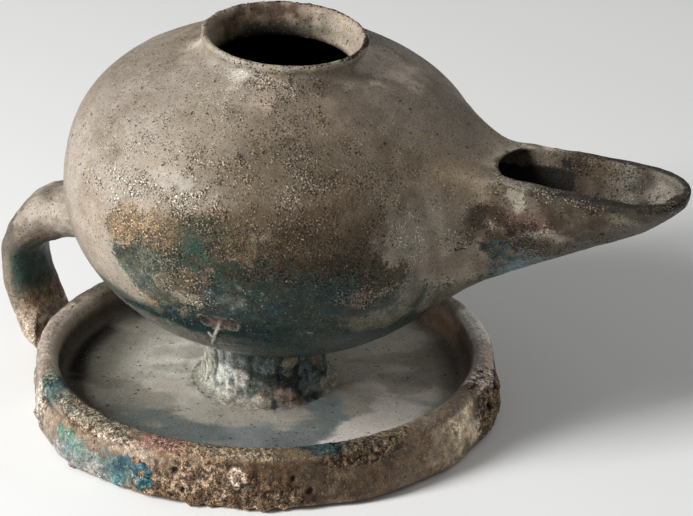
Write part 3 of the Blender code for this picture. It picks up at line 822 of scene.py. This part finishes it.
def glassy(s, n):
    """Where the dark glaze is, and its colour."""
    mid, fine, broad2 = n.mid, n.fine, n.broad2
    glass = covered(s, GLAZE)
    coat = Brush(glass, 1, mid, partial(blob, s))
    front = Brush(glass, around(s.az, -70, 80, 60), mid, partial(blob, s))
    coat.at((72, 76, 54), -105, 56, 11, 9)
    coat.at((85, 78, 48), -97, 53, 6, 6, 0.8, 0.8)
    coat.at((165, 168, 124), -102, 59.5, 5.5, 3.6, 0.85, 0.8)
    coat.at((54, 72, 58), -113, 60.5, 5, 3.5)
    coat.at((32, 34, 16), -89.5, 66.5, 6, 6)
    coat.at((12, 60, 38), -89, 66.2, 2.6, 3.0, noise=fine, low=-0.2, top=0.4)
    coat.at((18, 34, 22), -84, 61.0, 8, 3.5, 0.8, 0.6)
    front.at((24, 19, 11), -58, 61.0, 24, 4.0, 0.85)
    front((26, 34, 26), ramp(broad2 + 0.7 * mid, -0.1, 0.5), 0.7)
    front((44, 36, 22), ramp(mid - 0.5 * broad2, 0.25, 0.8), 0.6, s.pot)
    coat.at((12, 19, 15), -65, 55, 15, 6, 0.8, 0.6)
    coat.at((10, 32, 36), -94, 43.8, 7, 3.4, spread=0.4)
    coat((11, 24, 24), ramp(s.z, 50, 43), ramp(broad2 + 0.5 * mid, -0.6, 0.2), s.h > 22)
    coat.at((34, 32, 23), -45, 50, 12, 5, 0.8, 0.8)
    coat.at((90, 82, 58), -33, 46, 13, 4, 0.85, 0.6)
    coat.at((82, 73, 46), -10, 46, 13, 4, 0.85, 0.6)
    coat.at((60, 40, 22), -34, 60, 7, 4, 0.9, 0.6)
    coat.at((80, 80, 66), -20, 57, 8, 4, 0.8, 0.6)
    coat((7, 25, 26), ramp(0.7 * broad2 + mid, 0.0, 0.6), ramp(s.z, 62, 56), ramp(s.z, 47, 50), 0.75)
    coat((30, 25, 13), ramp(-mid - 0.4 * broad2, 0.15, 0.7), ramp(s.z, 50, 54), 0.6)
    coat.at((104, 98, 74), -27, 52.0, 9, 6, 0.9, 0.7)
    coat.at((82, 88, 74), -80, 53.5, 5, 3, 0.7, 1.0, fine)
    front((128, 124, 106), ramp(s.z + mid, 41.5, 39.0), ramp(s.az, -68, -92), 0.9)
    glaze = glaze_amount(s) * s.pot
    root = patch(oval(s.x - 59, s.z - 60.5, 8.0, 3.4), mid, 0.8) * (s.y < 0)
    raise_to(glaze, 0.8 * root * np.maximum(s.pot, s.spout))
    coat((94, 89, 53), root)
    coat((30, 48, 48), root, ramp(fine + 0.5 * mid, -0.1, 0.3))
    coat((98, 126, 120), s.stem)
    # painted light: the stem's glaze painted paler on its shaded right side
    coat((140, 184, 188), s.stem, ramp(s.dish_az, -50, -34))
    raise_to(glaze, s.handle * ramp(s.n[:, 0], 0.15, 0.65) * within(s.h, 31, 7, 4) * 0.45)
    coat((36, 52, 41), s.handle)
    dark = patch(oval(wrapped(s.dish_az + 62), s.h - 18.5, 34, 5.5), mid, 0.4)
    raise_to(dark, ramp(s.dish_az + 8 * mid, -36, -26) * ramp(s.dish_az, 178, 150) * ramp(s.h + mid, 8.5, 10.5) * 0.9)
    for azimuth, height, wide, high in ((-41, 16.8, 13, 3.0), (-6, 15.4, 15, 3.4)):
        dark *= 1 - patch(oval(wrapped(s.dish_az - azimuth), s.h - height, wide, high), mid, 0.4)
    raise_to(glaze, s.stem * dark)
    # flakes on the dish's wall: green, then aqua, then blue
    wall = s.dish * (s.dish_r > 54)
    on_wall = Brush(glass, wall)
    flakes = np.maximum(blob(s, -118, 4.6, 9.5, 5.2, "dish"), blob(s, -104.5, 4.8, 9.5, 4.4, "dish"))
    flakes = ramp(flakes + 0.4 * mid + 0.25 * fine, -0.12, 0.34)
    raise_to(flakes, patch(blob(s, 70, 6, 26, 6, "dish"), mid, 0.9, 0.25, 0.5))
    raise_to(glaze, wall * flakes)
    tone = fine + 0.8 * mid
    on_wall((160, 190, 172))
    on_wall((250, 196, 180), ramp(fine, 0.1, 0.5), 0.7)
    on_wall((72, 140, 138), ramp(s.dish_az, -107, -102), 0.8)
    on_wall((60, 130, 78), ramp(tone, 0.0, 0.35), ramp(s.dish_az, -110, -116), ramp(s.h, 5, 7), 0.9)
    on_wall((105, 185, 175), ramp(-tone, 0.1, 0.4), ramp(s.dish_az, -110, -116), 0.9)
    on_wall((20, 62, 82), ramp(tone, -0.2, 0.15), ramp(s.dish_az, -109, -104), ramp(s.h, 3.5, 5.0), 0.9)
    on_wall((24, 92, 100), ramp(tone, -0.7, -0.1), ramp(s.dish_az, -106, -101), ramp(s.h, 6, 4), 0.95)
    lip = s.dish * (s.h > 11) * ramp(s.dish_r + mid, 58.2, 56.8) * ramp(s.dish_r, 51, 52)
    rim_teal = lip * patch(blob(s, -51.5, 13, 5.5, 6, "dish"), mid, 0.5)
    coat((24, 40, 40), ramp(rim_teal, 0.0, 0.2))
    return glass, np.maximum(glaze, rim_teal)


def rusty_band(s, n):
    middle, half = along(RUST_BAND, s.az, 1), along(RUST_BAND, s.az, 2)
    wander = 1.4 * n.mid + 1.2 * n.broad2
    top = ramp(middle + half * 1.3 + wander - s.z, -2.5, 6.0)
    bottom = ramp(s.z - middle + half * 1.9 - wander, -1.6, 1.6)
    rust = top * bottom * s.pot * ramp(s.x, 58, 50) * np.clip(half / 2.5, 0, 1)
    rusty = covered(s, RUST)
    coat = Brush(rusty, 1, n.mid, partial(blob, s))
    coat((82, 54, 24), ramp(s.az + 4 * n.mid, -106, -94), ramp(s.az, 120, 60))
    coat((50, 34, 17), ramp(s.az + 6 * n.mid, -83, -73), ramp(s.az, 80, 40))
    coat((36, 26, 15), ramp(s.az + 6 * n.mid, -60, -50), ramp(s.az, 80, 40))
    coat((27, 17, 7), ramp(s.z + n.mid, 66.7, 64.9), ramp(s.az + 3 * n.mid, -73, -67), ramp(s.az, 60, 20))
    coat.at((28, 29, 13), -89.5, 69, 6, 6, 0.9, 0.7)
    return rust, rusty


def paint(piece):
    """Every vertex's colours and amounts, which the material's nodes turn into a surface."""
    mesh = piece.data
    s = places(points_of(mesh), normals_of(mesh))
    p = s.p
    across = np.stack([p[:, 0] * RIGHT_X + p[:, 1] * RIGHT_Y, (p[:, 1] * RIGHT_X - p[:, 0] * RIGHT_Y) * 2.6,
                       p[:, 2] * 2], 1)
    n = SimpleNamespace(broad=fractal(p, 22, 101, 3), broad2=fractal(p, 14, 105, 4), mid=fractal(p, 5, 109, 4),
                        fine=fractal(p, 2.2, 113, 3), streak=fractal(across, 12, 117, 5))
    # the spout's open channel: 1 where the surface faces its middle
    facing = -s.n[:, 1] * np.sign(s.y) > 0.25
    s.dip = ((s.x > 50) & (np.abs(s.y) < 12.5) & (s.h > 45)
                & (facing | (s.nz > 0.5) & (s.z < 77.5) & (np.abs(s.y) < 10))).astype(float)
    skin = covered(s, WARE)
    def spot(azimuth, height, wide, high, spread):
        return patch(blob(s, azimuth, height, wide, high), n.mid, spread)

    for part in (paint_pot, paint_spout, paint_handle, paint_dish, paint_stem, paint_inside):
        part(s, skin, n)
    glass, glaze = glassy(s, n)
    rust, rusty = rusty_band(s, n)

    warm = np.clip(s.pot * ramp(s.az, -118, -100) + s.spout + s.dish * (s.dish_r > 54), 0, 1)[:, None]
    skin *= 1 + warm * np.array(WARMER)

    # the scar and its white run
    scar, run = chip_amount(s), drip_amount(s)
    glaze *= 1 - ramp(scar, 0.15, 0.4)
    glaze *= 1 - 0.9 * run
    to_left = ramp(s.az + 2 * n.mid, -78, -82)
    lay(skin, (66, 60, 50), ramp(scar, 0.12, 0.4))
    lay(skin, (110, 100, 86), ramp(scar, 0.4, 0.7) * (1 - to_left) * ramp(n.fine, -0.2, 0.2))
    lay(skin, (60, 38, 31), ramp(scar, 0.45, 0.7) * (0.4 + 0.6 * to_left))
    lay(skin, (150, 105, 88), ramp(scar, 0.5, 0.9) * ramp(n.fine, 0.0, 0.4) * to_left)
    lay(skin, (30, 32, 26), ramp(scar, 0.3, 0.6) * (1 - to_left) * ramp(n.fine, 0.1, -0.2) * 0.9)
    outline = within(scar, 0.35, 0.16, 0.04) * ramp(n.fine, -0.3, 0.2) * (0.25 + 0.75 * ramp(s.z, 44.6, 45.8))
    lay(skin, (370, 350, 298), np.maximum(run, 0.6 * outline))
    rust *= 1 - scar

    front = patch(np.maximum(blob(s, -84, 76, 44, 16), blob(s, 90, 70, 60, 20)), n.broad, 0.5, -0.2, 0.6)
    pits = 0.12 + 0.88 * s.pot * front
    raise_to(pits, 0.7 * spot(-70, 95, 24, 6, 0.4) * s.pot, 1.3 * spot(-67, 96.8, 7, 2.4, 0.4) * s.pot,
             0.7 * s.pot * ramp(rust, 0.1, 0.5), 0.9 * spot(-8, 66, 12, 8, 0.4) * np.maximum(s.pot, s.spout),
             0.55 * s.spout)
    pits *= ramp(s.z, 20, 30) + 0.3
    crowded = np.maximum(blob(s, -90, 74, 42, 15), blob(s, -25, 67, 13, 13))
    specks = s.pot * (0.12 + 0.70 * patch(crowded, n.broad, 0.4, -0.2, 0.5))
    raise_to(specks, 0.45 * spot(-90, 95, 28, 6, 0.4) * s.pot, 1.2 * s.pot * spot(-27, 68, 9, 9, 0.5),
             0.75 * s.pot * ramp(rust, 0.0, 0.4))
    dim = blob(s, -58, 68, 24, 9)
    specks *= 1 - 0.65 * ramp(dim, 0.0, 0.4) - 0.3 * spot(-56, 63.5, 17, 4, 0.3)
    specks *= 1 - 0.7 * ramp(glaze, 0.35, 0.7)
    raise_to(specks, s.pot * np.maximum(0.45 * spot(-76, 55, 9, 5, 0.7),
                                        0.65 * spot(-99, 55, 14, 9, 0.7)))
    raise_to(specks, 0.35 * patch(oval(s.x - 70, s.z - 71, 9, 6), n.mid, 0.4) * (s.y < 0))
    under_lip = s.spout * (s.y < -3) * ramp(s.x, 64, 76) * within(s.z, 80.2, 2.4, 0.8)
    raise_to(pits, 1.3 * under_lip)
    raise_to(specks, 1.1 * under_lip)
    bare = s.pot * np.maximum(spot(-90, 55, 10, 9, 0.3), spot(-41, 55, 10, 5, 0.3))
    raise_to(pits, 0.9 * bare)
    raise_to(specks, 0.8 * bare)
    grit = crust_amount(s)
    raise_to(grit, s.handle * ramp(s.h, 27, 16) * 0.6, 0.35 * s.dish * ramp(s.dish_r, 53, 54.5))
    raise_to(grit, s.dish * ramp(s.h, 12, 13.5) * ramp(s.dish_r, 52.8, 54) * patch(
        np.maximum(blob(s, -74, 14, 20, 9, "dish"), blob(s, -40, 14, 16, 9, "dish")), n.mid, 0.7))
    raise_to(grit, 0.4 * s.stem)
    # stains and soot, with painted shade in the wick hole and the crust's pits
    stain_and_shade = ramp(lip_distance(s) + 0.6 * n.mid, 1.2, 0.4) * (0.42 + 0.3 * around(s.az, 60, 120, 60))
    raise_to(stain_and_shade, 0.36 * s.pot * patch(blob(s, -92, 99.6, 24, 1.2), n.fine, 0.6))
    # black pitted band along the spout's near lip, and painted shade: the wick hole painted black
    near = s.spout * (s.y < -3) * ramp(s.x, 66, 80) * ramp(s.x, 104, 97)
    band = ramp(np.abs(s.z - 80.7 + 0.6 * n.mid), 1.7, 0.7) * (s.dip < 1)
    raise_to(stain_and_shade, near * band * (0.5 + 0.35 * ramp(n.fine + 0.4 * ramp(s.x, 80, 88), 0.0, 0.5)))
    reach = np.interp(s.x, (50, 60, 66, 70, 73, 75), (75.4, 75.6, 76.4, 77.0, 77.0, 74.0)) + 0.5 * n.mid
    hole = s.dip * ramp(s.z, reach + 0.5, reach - 0.5) * ramp(s.x + 0.6 * n.mid, 74.6, 72.8)
    raise_to(stain_and_shade, hole, s.dip * (s.y > 0) * ramp(np.hypot((s.x - 71.3) * 0.8, s.z - 78.4), 1.5, 1.0))
    # painted shade: the crust's pits darkened
    for azimuth, height, radius, _ in PITS:
        du = np.radians(wrapped(s.dish_az - azimuth)) * WALL_ARC
        raise_to(stain_and_shade, (0.9 if azimuth > 0 else 0.5) * s.dish * (s.dish_r > 52)
                 * ramp(np.hypot(du, s.h - height) / radius + 0.3 * n.fine, 1.0, 0.5))
    silt = s.dish * ramp(s.dish_r, 51.0, 49.5) * (s.h > 3)
    raise_to(silt, 0.6 * s.spout * ramp(s.nz, 0.0, 0.45))
    threads = s.pot * np.maximum(spot(-97, 45.5, 7, 5, 0.3),
                                 0.8 * spot(-105, 54, 12, 11, 0.7))

    for name, values in (("glaze", glaze), ("rust", rust), ("pits", pits), ("specks", specks), ("grit", grit),
                         ("stain_and_shade", stain_and_shade), ("silt", silt), ("threads", threads), ("hollow", hollows(piece))):
        attribute = mesh.attributes.new(name, "FLOAT", "POINT")
        attribute.data.foreach_set("value", np.clip(values, 0, 1).astype(np.float32))
    for name, values in (("skin", skin), ("glass", glass), ("rusty", rusty)):
        attribute = mesh.attributes.new(name, "FLOAT_COLOR", "POINT")
        rgba = np.ones((len(values), 4), np.float32)
        rgba[:, :3] = np.clip(values, 0, 1)
        attribute.data.foreach_set("color", rgba.ravel())


# ---------------------------------------------------------------- the material
class Nodes:
    """Short calls for building a node tree."""

    def __init__(self, tree):
        self.tree = tree
        self.place = self.add("ShaderNodeTexCoord").outputs["Object"]

    def add(self, kind, **values):
        node = self.tree.nodes.new(kind)
        for key, value in values.items():
            setattr(node, key, value)
        return node

    def link(self, value, socket):
        if isinstance(value, bpy.types.NodeSocket):
            self.tree.links.new(value, socket)
        else:
            socket.default_value = value

    def made(self, kind, inputs, output=0, **values):
        """One output of a new node whose inputs are set or linked."""
        node = self.add(kind, **values)
        for key, value in inputs.items():
            self.link(value, node.inputs[key])
        return node.outputs[output]

    def math(self, operation, a, b=0.0, c=0.0):
        return self.made("ShaderNodeMath", {0: a, 1: b, 2: c}, operation=operation)

    times, plus = partialmethod(math, "MULTIPLY"), partialmethod(math, "ADD")
    larger, times_plus = partialmethod(math, "MAXIMUM"), partialmethod(math, "MULTIPLY_ADD")

    def centred(self, value):
        return self.math("SUBTRACT", value, 0.5)

    def step(self, value, low, high, to_low=0.0, to_high=1.0):
        """An eased rise from one number to another."""
        return self.made("ShaderNodeMapRange", {"Value": value, "From Min": low, "From Max": high, "To Min": to_low,
                                                "To Max": to_high}, interpolation_type="SMOOTHSTEP")

    def mix(self, amount, a, b):
        """From one colour to the other."""
        return self.made("ShaderNodeMix", {0: amount, 6: a, 7: b}, 2, data_type="RGBA")

    def blend(self, amount, a, b):
        """From one number to the other."""
        return self.made("ShaderNodeMix", {0: amount, 2: a, 3: b}, data_type="FLOAT")

    def scaled(self, tint, factor):
        """A colour times a number that may vary."""
        return self.made("ShaderNodeVectorMath", {0: tint, "Scale": factor}, operation="SCALE")

    def shaded(self, tint, amount, factor):
        """A colour times a factor, where the amount is 1."""
        return self.scaled(tint, self.blend(amount, 1.0, factor))

    def value(self, name, output="Fac"):
        return self.made("ShaderNodeAttribute", {}, output, attribute_name=name)

    def tint(self, name):
        return self.value(name, "Color")

    def noise(self, size_mm, detail=3.0, rough=0.55, offset=0.0):
        shifted = self.made("ShaderNodeVectorMath", {0: self.place, 1: (offset, offset * 0.7, offset * 1.3)},
                            operation="ADD")
        return self.made("ShaderNodeTexNoise", {"Vector": shifted, "Scale": 1000.0 / size_mm, "Detail": detail,
                                                "Roughness": rough}, "Fac")


def rgb(*values):
    return (*values, 1.0)


def new_material(name):
    """A material and its shader."""
    material = bpy.data.materials.new(name)
    material.use_nodes = True
    return material, material.node_tree.nodes["Principled BSDF"]


def lamp_material():
    material, shader = new_material("weathered_glaze")
    k = Nodes(material.node_tree)
    cloud = k.noise(9.0, 5.0, 0.62, 0.2)
    ragged = k.noise(3.0, 6.0, 0.68, 0.7)
    fine = k.noise(0.75, 4.0, 0.62)
    sand = k.noise(0.46, 2.0, 0.5, 0.3)
    sand2 = k.noise(0.44, 2.0, 0.5, 1.1)
    thread = k.noise(4.2, 1.0, 0.4, 2.3)
    craters = k.noise(1.5, 2.0, 0.5, 3.1)
    lumps = k.noise(1.3, 3.0, 0.6, 4.7)

    def torn(name, spread, fray, width):
        field = k.times_plus(k.centred(ragged), spread, k.value(name))
        field = k.times_plus(k.centred(fine), fray, field)
        return k.step(field, 0.5 - width, 0.5 + width)

    glaze = torn("glaze", 1.5, 2.2, 0.13)
    rust = torn("rust", 1.1, 2.6, 0.26)
    film = k.step(k.plus(cloud, k.times(k.centred(ragged), 0.9)), 0.52, 0.68)
    grit, silt, stain_and_shade, hollow = k.value("grit"), k.value("silt"), k.value("stain_and_shade"), k.value("hollow")

    # bare skin, rust and glaze, each mottled
    mottle = k.plus(k.times(k.centred(fine), 0.9), k.times(k.centred(ragged), 1.1))
    calm = k.times_plus(silt, -0.6, 1.0)
    base = k.scaled(k.tint("skin"), k.times_plus(mottle, calm, 1.0))
    rusted = k.scaled(k.tint("rusty"), k.step(sand, 0.40, 0.60, 0.25, 2.3))
    base = k.mix(k.times(rust, 0.92), base, rusted)
    glass = k.scaled(k.tint("glass"), k.times(k.step(ragged, 0.3, 0.7, 0.6, 1.5), k.step(fine, 0.3, 0.7, 0.7, 1.35)))
    glass = k.mix(k.times(film, 0.09), glass, k.scaled(k.tint("skin"), 0.4))
    base = k.mix(glaze, base, glass)

    # painted shade in hollows and painted light on bumps, most of all in the crust
    hollow_shading_amount = k.times_plus(grit, 0.75, 0.35)
    shade = k.step(hollow, 0.42, 0.90, 1.0, 0.42)
    light = k.step(hollow, 0.50, 0.20, 1.0, 1.40)
    base = k.shaded(base, hollow_shading_amount, k.times(shade, light))
    grain_dark = k.step(sand, 0.48, 0.41)
    grain_pale = k.step(sand2, 0.55, 0.62)
    base = k.shaded(base, k.times(grit, grain_dark), 0.25)
    base = k.shaded(base, k.times(grit, grain_pale), 2.0)
    base = k.shaded(base, grit, k.step(lumps, 0.38, 0.62, 0.52, 1.6))

    # clustered pits and pale specks
    cluster = k.plus(k.times(k.centred(cloud), 0.9), k.times(k.centred(ragged), 0.7))
    crowd = k.step(cluster, -0.09, 0.07, 0.10, 1.0)
    packed = k.times(k.value("pits"), crowd)
    base = k.shaded(base, k.times(packed, 0.8), k.step(sand2, 0.40, 0.60, 0.50, 1.42))
    dense = k.times(packed, 0.12)
    pit = k.step(k.plus(sand, dense), 0.655, 0.70)
    crater = k.step(k.plus(craters, k.times(dense, 0.5)), 0.70, 0.73)
    pit = k.larger(pit, crater)
    flecked = k.times(k.times(k.value("specks"), crowd), 0.12)
    speck = k.step(k.plus(sand2, flecked), 0.655, 0.70)
    pale = k.mix(0.62, rgb(0.62, 0.55, 0.43), k.scaled(base, 2.9))
    base = k.mix(k.times(pit, 0.85), base, k.scaled(base, 0.15))
    base = k.mix(k.times(speck, 0.75), base, pale)
    line = k.step(k.math("ABSOLUTE", k.centred(thread)), 0.013, 0.004)
    line = k.times(line, k.step(k.plus(k.value("threads"), k.centred(ragged)), 0.35, 0.55))
    base = k.mix(k.times(line, 0.45), base, rgb(0.36, 0.32, 0.22))
    # soot and stains near black, together with the painted shade of the wick hole and the crust's pits
    between = k.times(k.times(stain_and_shade, k.math("SUBTRACT", 1.0, stain_and_shade)), 7.0)
    soot_and_shade = k.step(k.times_plus(k.centred(sand), between, stain_and_shade), 0.3, 0.7)
    base = k.mix(soot_and_shade, base, rgb(0.018, 0.015, 0.012))
    k.link(base, shader.inputs["Base Color"])

    rough = k.blend(glaze, k.step(fine, 0.3, 0.7, 0.34, 0.56), k.step(fine, 0.3, 0.7, 0.20, 0.42))
    rough = k.blend(k.larger(grit, silt), rough, 0.9)
    rough = k.blend(k.larger(pit, stain_and_shade), rough, 0.8)
    k.link(rough, shader.inputs["Roughness"])
    k.link(k.blend(glaze, 0.24, 0.16), shader.inputs["Specular IOR Level"])

    # relief finer than the mesh
    height = k.times(fine, 0.55)
    height = k.times_plus(sand2, k.times_plus(k.larger(grit, packed), 1.6, 0.25), height)
    height = k.times(height, k.times_plus(k.larger(glaze, silt), -0.5, 1.0))
    for extra, proud in ((k.times(lumps, grit), 3.0), (pit, -1.3), (speck, 1.3), (line, 0.5)):
        height = k.times_plus(extra, proud, height)
    k.link(k.made("ShaderNodeBump", {"Distance": BUMP, "Height": height}, "Normal"), shader.inputs["Normal"])
    return material


paint(piece)
piece.data.materials.clear()
piece.data.materials.append(lamp_material())


# ---------------------------------------------------------------- floor, light and camera
# the camera: degrees round and up, roll, distance in metres, lens in mm, and what it aims at beside the origin
AZIMUTH, ELEVATION, ROLL = 22.0, 25.605, math.radians(0.696)
DISTANCE = 1.0
LENS = 204.2
AIM_RIGHT, AIM_UP = 0.02044, 0.03550
LIGHTS = (  # degrees round and up, distance, width and height in metres, power in watts
    ("key", -41, 30.5, 0.9, 0.26, 0.46, 11.8), ("fill", 138, 44, 0.9, 0.8, 0.6, 0.9))
LIT_PLACE = Vector((0.01, 0, 0.05))
WORLD_STRENGTH = 0.23
FLOOR_HALF, FLOOR_GAP = 4.0, 0.05 * MM


def direction(azimuth, elevation):
    """Towards a place so many degrees round, from the front to the right, and up."""
    a, e = math.radians(azimuth), math.radians(elevation)
    return Vector((math.sin(a) * math.cos(e), -math.cos(a) * math.cos(e), math.sin(e)))


def build_floor():
    mesh = bpy.data.meshes.new("floor")
    half = FLOOR_HALF
    mesh.from_pydata([(-half, -half, 0), (half, -half, 0), (half, half, 0), (-half, half, 0)], [], [(0, 1, 2, 3)])
    floor = added("floor", mesh)
    floor.location.z = -FLOOR_GAP
    material, shader = new_material("pale_floor")
    shader.inputs["Base Color"].default_value = (0.86, 0.86, 0.85, 1)
    shader.inputs["Roughness"].default_value = 0.9
    mesh.materials.append(material)


def build_light(name, azimuth, elevation, distance, wide, high, power):
    data = bpy.data.lights.new(name, "AREA")
    data.shape = "RECTANGLE"
    data.size, data.size_y = wide, high
    data.energy = power
    lamp = added(name, data)
    at = direction(azimuth, elevation)
    lamp.location = LIT_PLACE + at * distance
    lamp.rotation_mode = "QUATERNION"
    lamp.rotation_quaternion = at.to_track_quat("Z", "Y")


def build_world():
    world = bpy.data.worlds.new("studio")
    world.use_nodes = True
    light = world.node_tree.nodes["Background"].inputs
    light["Color"].default_value = (1, 1, 1, 1)
    light["Strength"].default_value = WORLD_STRENGTH
    bpy.context.scene.world = world


def build_camera():
    back = direction(AZIMUTH, ELEVATION)
    right = Vector((math.cos(math.radians(AZIMUTH)), math.sin(math.radians(AZIMUTH)), 0))
    up = back.cross(right)
    side = right * math.cos(ROLL) + up * math.sin(ROLL)
    top = up * math.cos(ROLL) - right * math.sin(ROLL)
    at = right * AIM_RIGHT + up * AIM_UP + back * DISTANCE
    data = bpy.data.cameras.new("camera")
    data.sensor_width = 36
    data.lens = LENS
    data.clip_start, data.clip_end = 0.05, 20
    camera = added("camera", data)
    camera.matrix_world = Matrix(((side.x, top.x, back.x, at.x), (side.y, top.y, back.y, at.y),
                                  (side.z, top.z, back.z, at.z), (0, 0, 0, 1)))
    bpy.context.scene.camera = camera


build_floor()
for light in LIGHTS:
    build_light(*light)
build_world()
build_camera()
bpy.context.scene.view_settings.view_transform = "Standard"
